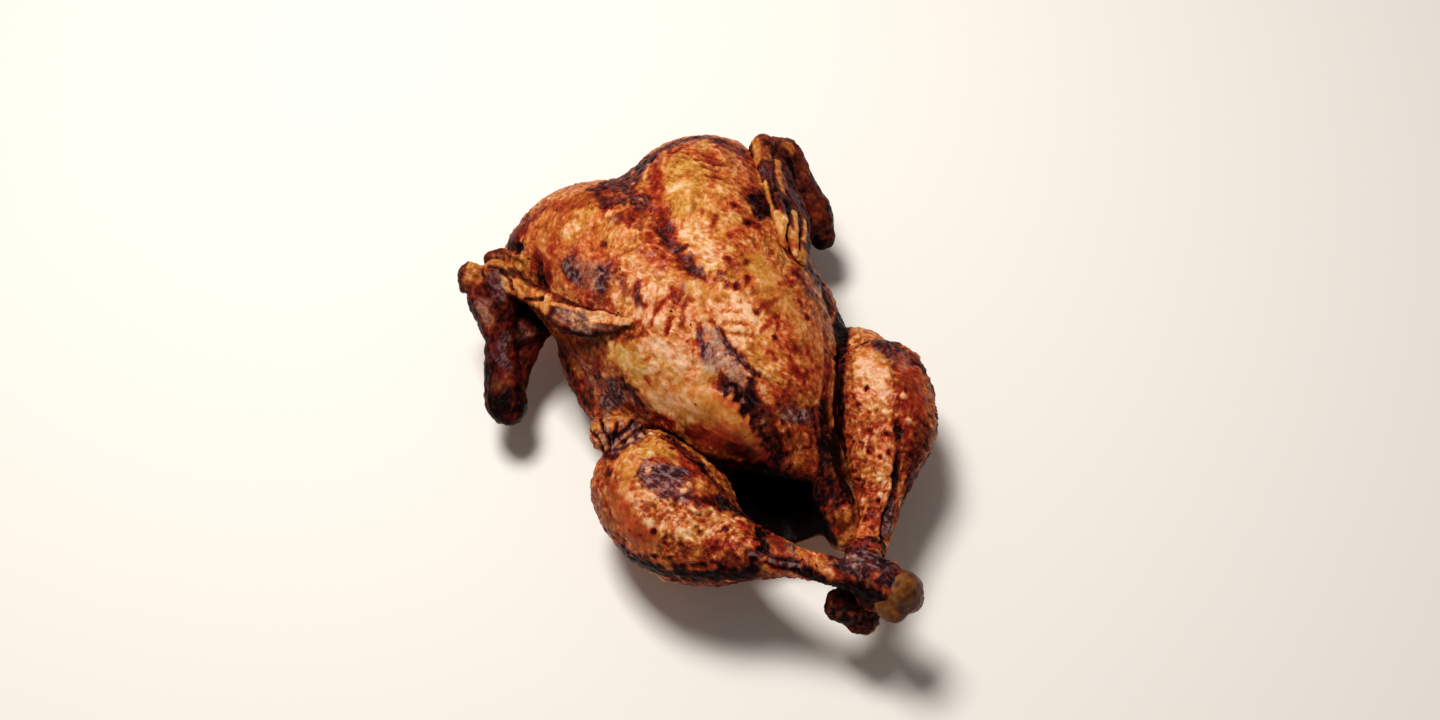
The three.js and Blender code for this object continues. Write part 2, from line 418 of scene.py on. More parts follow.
# the drumsticks: meat, bare shank and ankle, and the folded skin of the left knee
drumsticks = {
    "left": {
        "path": [(-62, -15, 40), (-60, -37, 42), (-56, -60, 45), (-46, -85, 51), (-29, -104, 58),
                 (-11, -121, 62), (14, -144, 60)],
        "radii": (19, 26.5, 29.5, 27, 18.5, 10.5, 6.6, 7, 9),
        "ankle": [((14.5, -146, 60), (8.4, 8, 10.6)), ((10, -146, 57), (7.6, 8, 8.4)),
                  ((5, -129, 62), (10.5, 8.5, 9)), ((10.5, -139.5, 62), (10.5, 9.5, 10.5)),
                  ((8, -139, 53), (10, 9, 10))],
        "knee": [dict(path=[(-67, -7, 42), (-66, -15, 52), (-59, -21, 60), (-51, -22, 63)],
                      radii=(7, 8.5, 8.5, 5.5))],
    },
    "right": {
        "path": [(66, -24, 40), (61, -46, 44), (53, -70, 46), (40, -89, 48), (26, -108, 49), (14, -121, 48),
                 (-1, -137, 42)],
        "radii": (15, 24, 25.5, 23.5, 17, 11, 8.5, 8.5, 9),
        "ankle": [((-5, -136, 41), (8.5, 9, 8)), ((-1, -143, 40), (9, 8.5, 8)), ((6, -140, 44), (8, 8, 8)),
                  ((-9, -135, 40), (6, 6, 6)), ((12, -121, 55), (10, 7, 8))],
        "knee": [],
    },
    "voxel": 0.7,
    "smoothing": 8,
}


def drumstickBody(side):
    part = drumsticks[side]
    forms = [drawnOut(part["path"], part["radii"], rings=120)]
    forms += [lump(at, half) for at, half in part["ankle"]] + [drawnOut(**fold) for fold in part["knee"]]
    joined = meshObject(side + "Drumstick", forms)
    return grownTogether(joined, drumsticks["voxel"], drumsticks["smoothing"])


leftDrumstick, rightDrumstick = drumstickBody("left"), drumstickBody("right")
print("drumsticks", len(leftDrumstick.data.vertices), len(rightDrumstick.data.vertices))

# the wings: shoulder to elbow, elbow to wrist, the pointed tip laid back over the breast, and webs of skin
wings = {
    "left": [
        dict(path=[(-46, 84, 46), (-68, 66, 40), (-86, 52, 31), (-103, 32, 25)], radii=(17, 12, 9, 8, 8)),
        dict(path=[(-98, 62, 46), (-80, 66, 44), (-62, 64, 46)], radii=(10, 13, 12), thickness=(2, 2.5, 3)),
        dict(path=[(-93, 84, 55), (-91, 90, 57), (-85, 94, 58)], radii=(6.5, 7.5, 6)),
        dict(path=[(-82, 95, 58), (-72, 94, 58), (-66, 82, 62), (-60, 70, 66)], radii=(5, 4, 3.5, 2),
             thickness=(4, 3, 2.5, 2)),
        dict(path=[(-104, 23, 26), (-97, 45, 36), (-89, 65, 48), (-85, 89, 57)],
             radii=(9, 10.5, 10, 8, 12, 12), thickness=(10, 10, 8, 8, 11, 10), flatTo=(-1, 0, 0.5)),
        dict(path=[(-84, 92, 58), (-75, 74, 63), (-66, 56, 68), (-59, 36, 77), (-48, 22, 87), (-38, 12, 96)],
             radii=(11, 6.5, 5.5, 8, 7.5, 6, 2), thickness=(9, 6, 4.5, 4.5, 4, 3.5, 2),
             flatTo=(-0.5, 0, 0.9)),
    ],
    "right": [
        dict(path=[(50, 88, 46), (66, 66, 40), (79, 46, 33)], radii=(16, 13, 11.5, 10.5)),
        dict(path=[(74, 84, 65), (71, 70, 67), (65, 54, 73), (60, 40, 79), (55, 26, 82), (50, 14, 84)],
             radii=(3.5, 3.5, 2.5, 2.5, 3, 2), thickness=(4, 4, 3, 3, 3, 2)),
        dict(path=[(72, 62, 60), (69, 48, 65), (64, 34, 68), (58, 20, 72)], radii=(3, 3.5, 3, 1.5),
             thickness=(4, 3.5, 3, 2)),
        dict(path=[(68, 80, 52), (68, 62, 52), (64, 40, 50)], radii=(8, 9, 7), thickness=(4, 4, 4)),
        dict(path=[(73, 84, 61), (68.5, 70, 66), (63, 54, 73), (57.5, 38, 79), (53, 24, 82), (49, 10, 84)],
             radii=(9, 10, 12, 12.5, 12, 7), thickness=(6, 5.5, 4.5, 4.2, 3.8, 2.5), flatTo=(0.82, 0, 0.57)),
        dict(path=[(71, 88, 57), (75, 89, 57), (79, 88, 55)], radii=(7, 8, 7)),
        dict(path=[(80, 60, 38), (84, 50, 33), (80, 40, 32)], radii=(6, 7, 6)),
        dict(path=[(80, 46, 32), (81, 61, 42), (80, 75, 52), (76, 93, 60)], radii=(10, 12, 11.5, 9, 11, 11),
             thickness=(11, 12, 10, 9, 11, 10), flatTo=(1, 0, 0.5)),
        dict(path=[(73, 94, 62), (64, 78, 71), (58, 60, 80), (52, 43, 87), (48, 29, 90), (44, 16, 91)],
             radii=(9, 6, 4.2, 3.8, 3.8, 3.4, 2), thickness=(9, 7, 4.5, 4, 4, 4, 3), flatTo=(0.5, 0, 0.9)),
    ],
    "voxel": 0.6,
    "smoothing": 10,
}


def wingBody(side):
    joined = meshObject(side + "Wing", [drawnOut(**bar) for bar in wings[side]])
    return grownTogether(joined, wings["voxel"], wings["smoothing"])


# the bare end of the upper ankle, where the foot is cut off
bareAnkle = {
    "lumps": [((15.5, -146.5, 60), (10.2, 9.8, 12.4)), ((11, -147.4, 57), (8.8, 9.6, 9.8)),
              ((18, -149, 54), (7.4, 7, 6.4))],
    "voxel": 0.7,
    "smoothing": 6,
}
ankleEnd = grownTogether(meshObject("ankleEnd", [lump(at, half) for at, half in bareAnkle["lumps"]]),
                         bareAnkle["voxel"], bareAnkle["smoothing"])
leftWing, rightWing = wingBody("left"), wingBody("right")
print("wings", len(leftWing.data.vertices), len(rightWing.data.vertices))

# Each mark below gives its places, how wide and how soft it is, the browning and the redness it brings, and
# by name whatever else it changes. The places of a seen mark are pixels of the 1440 x 720 frame, the others
# are points in millimetres.

# what is laid on the carcass
carcassBase = {"browning": 0.36, "redness": 0.1, "crackle": 0.75, "juice": 0.3}
breastMarks = {
    # sides that the camera doesn't see
    # painted shade: the cavity wall is near black, without crackle or gloss
    "shadedCavityWall": through([(-14, -96, 43), (-6, -50, 46), (0, 0, 48), (0, 44, 48)], 24, 3, 1.15, crackle=0.2,
                          juice=0),
    "undersidePale": at([(0, 60, 0), (0, -60, 0)], 52, 40, 0.3, 0.0, crackle=0.5),
    "leftRibs": at([(-70, 60, 20), (-66, 0, 22), (-50, -50, 24)], 16, 22, 0.66, ragged=3),
    "rightRibs": at([(70, 60, 20), (66, 0, 22), (50, -50, 24)], 16, 22, 0.7, ragged=3),
    "neckSkin": at([(-50, 104, 40), (0, 112, 34), (45, 104, 40)], 18, 20, 0.6, 0.3, ragged=3),
    "neckOpening": at([(-30, 108, 26), (0, 112, 22), (30, 108, 26)], 4, 4, 0.9, lift=-5),
    "neckSkinRoll": at([(-36, 108, 34), (0, 112, 31), (36, 108, 34)], 4, 4, 0.5, lift=2.5),
    # golden, orange, cream and pink areas; the pink left of the keel carries painted sheen, and the band
    # under the wing tip is its painted shadow
    "goldRightLobe": seen([(680, 168), (688, 198)], 10, 13, 0.32, -0.9, crackle=0.5),
    "paleRightLobe": seen([(672, 192), (684, 186)], 4, 5, 0.12, -0.6),
    "orangeRightLobe": seen([(716, 178), (724, 205), (728, 232)], 7, 9, 0.34, 0.1, crackle=0.6),
    "creamRightLobe": seen([(690, 224), (694, 240)], 6.5, 7, 0.16, 0.0),
    "creamFurrowSide": seen([(706, 250), (712, 262)], 5, 6, 0.12, -0.3),
    "orangeSaddleSide": seen([(738, 238), (760, 250)], 7, 9, 0.33, 0.2),
    "goldRightSide": seen([(758, 264), (774, 280)], 7, 7, 0.3, -0.3, crackle=0.2),
    "goldRightLow": seen([(768, 300), (792, 306)], 5.5, 6, 0.32, -0.1, crackle=0.3),
    "orangeRightEdge": seen([(800, 322), (812, 340), (820, 372)], 7, 8, 0.33, 0.3, crackle=0.4),
    "creamMiddle": seen([(724, 300), (736, 318), (746, 338)], 8, 9, 0.02, -0.1),
    "creamRight": seen([(744, 306), (756, 318), (758, 334)], 5, 7, 0.04, 0.1),
    "creamLower": seen([(756, 345), (772, 362)], 5, 6, 0.27, -0.2),
    # pink skin with a painted sheen on it, here and in the peach below
    "pinkLeft": seen([(646, 312), (662, 322), (682, 322)], 8, 9, 0.18, 0.5),
    "peachLeft": seen([(644, 346), (664, 360), (688, 352)], 12, 12, 0.1, 0.15),
    "goldLeft": seen([(614, 350), (632, 364), (642, 380)], 6.5, 6, 0.2, -0.8, crackle=0.4),
    "goldLeftLow": seen([(652, 396), (682, 402)], 10, 10, 0.18, -0.3, crackle=0.35),
    "goldLeftLobe": seen([(562, 228), (590, 222), (620, 236)], 7, 9, 0.3, -0.1, crackle=0.6),
    "paleLeftLobe": seen([(567, 230), (574, 226)], 3, 4, 0.08),
    "orangeLeftLobe": seen([(542, 222), (548, 250), (556, 285)], 7, 9, 0.38, 0.35, crackle=0.5),
    "peachLeftLobe": seen([(618, 262), (642, 264), (660, 282)], 9, 10, 0.22, 0.1),
    "peachLeftLow": seen([(614, 288), (628, 290), (638, 300)], 6, 8, 0.12, 0.1),
    # the wing tip's shadow, painted on the breast below it
    "tipShadow": seen([(552, 345), (580, 350), (600, 346)], 6, 6, 0.62, 0.2, crackle=0.5),
    # edges: the dark rims along the outline are painted shade
    # painted shade along the outline
    "frontRimShade": seen([(504, 242), (516, 224), (541, 211), (553, 208)], 3.2, 5.5, 0.66, 0.3, ragged=1.5),
    "orangeRim": seen([(556, 206), (575, 202), (592, 198)], 5, 5, 0.54, 0.4, crackle=0.4),
    # painted shade along the outline
    "saddleRimShade": seen([(600, 188), (620, 180), (641, 163), (659, 152), (681, 140)], 5.5, 5, 0.8, 0.3,
                      ragged=1.5),
    # painted shade along the outline
    "lobeRimShade": seen([(682, 140), (705, 137), (725, 143), (744, 154)], 5.5, 5, 0.72, 0.5, ragged=1.5,
                    crackle=0.5),
    "rightRim": seen([(745, 160), (755, 182)], 3, 4, 0.5, 0.5),
    "redShoulder": seen([(510, 240), (522, 230)], 4.5, 5, 0.62, 0.9, crackle=0.2),
    "shoulderHollow": seen([(506, 250), (518, 247)], 3, 3.5, 0.95, ragged=1, lift=-1.5),
    "shoulderRidge": seen([(505, 251), (514, 255), (522, 259)], 1, 1.5, 0.42, lift=1.4),
    "shoulderPit": seen([(536, 262), (540, 278), (543, 284)], 3.2, 4, 0.9, 0.3, ragged=1, lift=-1.5),
    "shoulderRed": seen([(538, 254), (547, 266), (548, 282)], 2.5, 3, 0.6, 0.8),
    # painted shade along the left edge
    "leftEdgeShade": seen([(548, 345), (566, 365), (578, 386), (588, 402)], 3.6, 4, 0.84, 0.2),
    "rightEdgeRed": seen([(826, 332), (827, 362), (825, 398)], 2.8, 4, 0.62, 0.7),
    "rightEdgeGold": seen([(798, 289), (812, 299), (828, 318)], 1.3, 1.6, 0.4, -0.3, lift=0.9),
    # painted shade on the right side, turned from the light
    "rightSideShade": seen([(806, 264), (818, 282), (830, 306)], 6, 5, 0.84, 0.2, ragged=1),
    # the dark saddle between the lobes and the burnt furrow behind it
    "saddle": seen([(609, 200), (630, 195), (648, 206)], 6, 6, 0.7, 0.6, ragged=1.5, smoke=0.35),
    "saddleFront": seen([(640, 170), (630, 184), (616, 190)], 4.5, 5, 0.7, 0.3, smoke=0.35),
    "saddleTop": seen([(640, 166), (650, 160)], 3.5, 3, 0.92),
    "redSaddleEdge": seen([(656, 160), (657, 188), (654, 210)], 3.6, 4.5, 0.5, 0.9, ragged=1),
    "saddleBack": seen([(624, 216), (640, 222), (654, 222)], 5, 6, 0.54, 0.6, ragged=1, smoke=0.25),
    "saddleSpotLeft": seen([(606, 206)], 3, 3, 0.92),
    "furrowTop": seen([(660, 212), (668, 232)], 4, 4, 0.62, 0.6, ragged=1, lift=-0.8),
    "furrowStreak": seen([(666, 230), (672, 244), (682, 254), (690, 268), (699, 276)], 3.5, 3.6, 0.77, 0.8,
                         ragged=1, smoke=0.35, lift=-1.2),
    "redByFurrow": seen([(650, 238), (655, 256), (664, 258)], 4, 5, 0.38, 1.0, ragged=1),
    # the purple patch on the left lobe
    "patch": seen([(576, 262), (592, 262), (604, 272), (590, 286)], 7.5, 7, 0.47, 0.5, ragged=1, smoke=0.5),
    "patchDarkLeft": seen([(565, 266), (576, 278)], 3, 3, 0.85, smoke=0.95),
    "patchDarkRight": seen([(601, 272), (601, 288)], 2.6, 3, 0.88, smoke=0.8),
    "patchTop": seen([(582, 250), (600, 254)], 4, 5, 0.38, 0.8, smoke=0.2),
    "patchLow": seen([(578, 296), (602, 302)], 4, 5, 0.48, 0.6, ragged=1, smoke=0.25),
    "patchSmall": seen([(638, 283), (636, 296), (641, 306)], 2, 2.4, 0.66, 0.5, smoke=0.5),
    "patchSmallLeft": seen([(622, 278), (626, 292)], 2.4, 3, 0.45, 0.6, smoke=0.4),
    # red and dark spots on the right
    "deepRed": seen([(778, 320), (788, 332), (786, 344)], 4.2, 4, 0.38, 0.8, ragged=1),
    "deepRedDot": seen([(775, 337)], 1.5, 1.5, 1.0),
    "pitRight": seen([(752, 200), (764, 196), (766, 210), (758, 213)], 3.8, 3.5, 0.97, smoke=0.2, lift=-1.5),
    "pitLow": seen([(748, 222), (756, 226)], 2.8, 3, 0.8, 0.8),
    "pitRim": seen([(742, 192), (752, 189)], 2, 3, 0.6, 0.8),
    "mottledRight": seen([(770, 392), (790, 385), (806, 395)], 7, 7, 0.46, 0.35, ragged=1.5, smoke=0.1),
    # the smooth end of the left lobe
    "bulge": seen([(694, 402), (716, 404), (738, 424)], 9, 8, 0.28, 0.2, crackle=0.12, juice=0.6, lift=1.5),
    "bulgeOrange": seen([(708, 394), (730, 408)], 6, 6, 0.28, 0.3),
    "bulgeRed": seen([(696, 438), (714, 440), (732, 447), (752, 452)], 6, 4, 0.57, 1.3, ragged=1,
                     crackle=0.15, juice=0.7),
    "bulgeRose": seen([(722, 430), (737, 433), (750, 440)], 5, 4, 0.46, 1.2, ragged=1, crackle=0.1,
                      juice=0.7),
    "bulgePink": seen([(722, 399), (730, 404)], 2, 2.5, 0.4, 0.9),
    "bulgeTip": seen([(746, 430), (752, 440)], 3, 3, 0.38, 0.4, crackle=0.04, juice=1),
    "bulgeDark": seen([(732, 449), (750, 454)], 4, 3, 0.85, 0.5, crackle=0.1),
    "bulgeEndRed": seen([(758, 446), (768, 458), (780, 466)], 2.6, 2.6, 0.62, 0.9),
    # painted shade under the bulge's lower edge
    "bulgeUnderShade": seen([(640, 424), (668, 434), (688, 448), (712, 460), (740, 466), (786, 470)], 3.4, 3, 0.96,
                       0.3),
    "bulgeCrease": seen([(694, 387), (712, 384), (724, 388)], 1.6, 2, 0.6, 0.8, juice=0.1, lift=-0.7),
    "redFlankEdge": seen([(646, 378), (654, 388)], 1.6, 2, 0.66, 0.8),
    "redLegSide": seen([(650, 412), (670, 424)], 3, 4, 0.66, 0.6),
    # the burnt valley and the brown tail right of it
    "valley": seen([(722, 380), (735, 388), (746, 402), (758, 418), (768, 436), (782, 458)], 3.8, 3.2, 1.0,
                   ragged=1.2, smoke=0.2, lift=-2.2),
    "valleyWide": seen([(748, 388), (758, 404), (770, 420)], 3.6, 3.5, 0.97, 0.3, ragged=1, smoke=0.3),
    "brownTail": seen([(782, 420), (800, 442), (812, 468)], 10, 8, 0.62, 0.2, ragged=1, smoke=0.15),
    "tailGlints": seen([(788, 414), (806, 417)], 3.2, 3.5, 0.6, 0.3, smoke=0.95),
    "tailTan": seen([(764, 392), (768, 400)], 2.6, 3, 0.3, -0.1),
    "tailRed": seen([(800, 428), (810, 436)], 3, 4, 0.52, 0.5),
    "tailTanLow": seen([(800, 458), (812, 460)], 3, 4, 0.55, 0.3),
    # painted shade at the edge of the gap beside the right leg
    "tailGapShade": seen([(824, 408), (826, 450), (822, 486)], 4, 5, 0.92, 0.1),
    # the keel: a grey patch left of a dark crease with a raised lip, and a painted highlight on the lip
    "greyPatch": seen([(710, 340), (722, 354), (738, 370)], 6.5, 6, 0.3, 0.2, ragged=1.5, smoke=0.6,
                      crackle=1),
    "lilacPatch": seen([(707, 352), (710, 366)], 3.5, 3.5, 0.34, 0.3, smoke=0.8),
    "keelCreaseTop": seen([(711, 320), (718, 327), (728, 341)], 0.8, 1.2, 0.8, 0.3, lift=-1.2),
    "keelCrease": seen([(726, 340), (731, 349), (741, 357), (748, 367), (760, 374)], 1.2, 1.4, 0.98, 0.3,
                       lift=-1.8),
    "keelCreaseDeep": seen([(734, 351), (746, 363)], 2.2, 2.4, 0.94, 0.4, ragged=0.6, lift=-1.2),
    # painted highlight along the raised lip
    "keelLip": seen([(732, 342), (742, 352), (756, 366), (766, 376)], 1.5, 1.6, 0.24, smoke=0.2, lift=1.6),
    "redCurl": seen([(693, 302), (694, 318)], 1.6, 1.8, 0.42, 1.0, lift=-0.7),
    "redCurlLow": seen([(699, 322), (700, 340), (694, 352)], 1.3, 1.5, 0.6, 1.0, lift=-0.9),
    "redCurlLoop": seen([(702, 344), (704, 354), (694, 361), (693, 372)], 1.1, 1.3, 0.68, 0.8, lift=-0.9),
    "pinkLoop": seen([(698, 350), (696, 358)], 1.6, 1.8, 0.3, 0.8, lift=0.8),
    "starWeb": seen([(688, 284), (702, 292), (716, 296)], 5, 5, 0.3, 0.0, crackle=0.3, lift=0.8),
    "starStem": seen([(694, 284), (697, 300), (700, 318)], 2, 2.4, 0.16, ragged=0.6, crackle=0.6, lift=1),
    # the gaps beside the legs, painted dark as shade, and the skin flap and tail bump by the cavity
    # painted shade in the gap beside the right leg
    "rightLegGapShade": seen([(842, 318), (838, 350), (836, 400), (836, 450), (842, 480), (848, 500)], 4.5, 2.5,
                        1.1),
    "skinFlap": seen([(812, 476), (826, 492), (836, 508)], 9, 5, 0.9, 0.3, ragged=1),
    "tailBump": seen([(832, 512), (846, 516)], 4, 4, 0.5, 0.2, ragged=1, lift=1.5),
    "tailBumpLow": seen([(838, 528)], 4, 4, 0.66, 0.2),
    # painted shade in the gap beside the left leg
    "leftLegGapShade": seen([(655, 428), (684, 446), (704, 474)], 3, 2.5, 1.0),
    # the flank above the left knee
    "darkFlank": seen([(588, 372), (600, 390), (622, 398), (640, 408)], 9, 6, 0.46, 0.3, ragged=1.5,
                      smoke=0.4),
    "flankGlints": seen([(612, 386), (618, 394), (606, 404)], 3.6, 4, 0.75, smoke=1.0),
    "flankBlack": seen([(622, 384), (634, 392), (640, 404)], 3, 3, 0.88, ragged=1),
    "flankRed": seen([(600, 362), (596, 376)], 3, 4, 0.66, 0.6),
    "peachAboveBulge": seen([(664, 390), (684, 384), (700, 378)], 8, 8, 0.14, 0.0),
    "bulgeGlow": seen([(684, 388), (688, 402)], 7, 7, 0.2, 0.0, crackle=0.3),
    "brownPastTip": seen([(614, 334), (630, 334), (640, 326)], 4.5, 4, 0.56, 0.3, ragged=1),
    "redByStar": seen([(684, 330), (688, 344)], 3.5, 4, 0.34, 0.6, ragged=1),
    "goldUpperLobe": seen([(708, 206), (711, 226)], 5, 6, 0.22, -0.1),
    "redRightUpper": seen([(800, 278), (807, 290), (818, 300)], 4, 4, 0.72, 0.5, ragged=1),
    "frontGold": seen([(536, 222), (546, 216)], 4, 4, 0.3, 0.1),
    "flankBrown": seen([(582, 384), (590, 398)], 4, 4, 0.74, 0.3, ragged=1),
    **several("leftRay", 1.1, 1.6, 0.56, 0.8, lift=-0.9, runs=[
        [(676, 290), (662, 303), (655, 312), (650, 326)], [(682, 294), (675, 305), (670, 322), (666, 334)],
        [(688, 298), (683, 312), (681, 328)], [(671, 288), (676, 300)], [(650, 300), (643, 308)],
    ]),
    # pale raised pillows left of the keel, carrying painted highlights
    **several("palePillow", 2.2, 2.6, 0.05, 0.3, lift=0.8, runs=[
        (661, 321), (651, 300), (646, 322), (688, 312), (640, 312), (654, 288), (676, 312),
    ]),
    **several("rightRay", 0.8, 1.2, 0.42, 0.4, lift=-0.7, strength=0.8, runs=[
        [(708, 281), (722, 279)], [(712, 288), (736, 288)], [(716, 300), (730, 304)],
        [(722, 310), (742, 312)], [(724, 322), (748, 324)], [(730, 332), (752, 336)],
        [(742, 300), (758, 304)], [(700, 298), (712, 312)],
    ]),
    **several("ripple", 1.1, 1.6, 0.58, 0.8, lift=-0.7, runs=[
        [(684, 153), (700, 153), (716, 159)], [(696, 159), (710, 162), (724, 166)], [(704, 167), (716, 171)],
        [(680, 147), (676, 152), (670, 151)], [(706, 176), (720, 178)],
    ]),
    **several("redSpot", 1.8, 2, 0.72, 0.7, runs=[
        (721, 272), (747, 278), (736, 285), (728, 284), (800, 302), (808, 317), (775, 316), (746, 262),
        (771, 251), (765, 306), (757, 312), (603, 243), (733, 205), (727, 258), (790, 284),
    ]),
    **several("redStreak", 1.4, 2, 0.56, 0.9, runs=[
        [(790, 345), (802, 352)], [(792, 362), (800, 376), (806, 388)], [(762, 308), (776, 300)],
        [(775, 360), (768, 350)], [(808, 372), (820, 368)], [(780, 284), (796, 282)],
        [(806, 346), (812, 360)], [(770, 322), (762, 330)], [(730, 236), (742, 232)],
        [(716, 216), (712, 228)],
    ]),
    # painted lilac-grey glints
    **several("lilacGlint", 1.3, 1.6, 0.2, smoke=0.9, strength=0.7, runs=[
        (632, 183), (640, 200), (657, 160), (672, 250), (569, 272), (601, 274), (806, 417), (730, 389),
        (743, 401), (764, 422), (733, 280), (712, 282), (787, 262),
    ]),
    **fanned("tailWrinkle", [(768, 428), (782, 452), (796, 476)], [(816, 410), (820, 440), (822, 474)],
             count=9, seed=6, jitter=1.5, wide=1.1, soft=1.4, lift=-1.1, browning=0.84),
    **fanned("tailRidge", [(774, 430), (787, 452), (799, 474)], [(810, 410), (815, 440), (818, 470)], count=7,
             seed=9, jitter=1.5, wide=1.1, soft=1.4, lift=0.9, browning=0.48, redness=0.3),
}

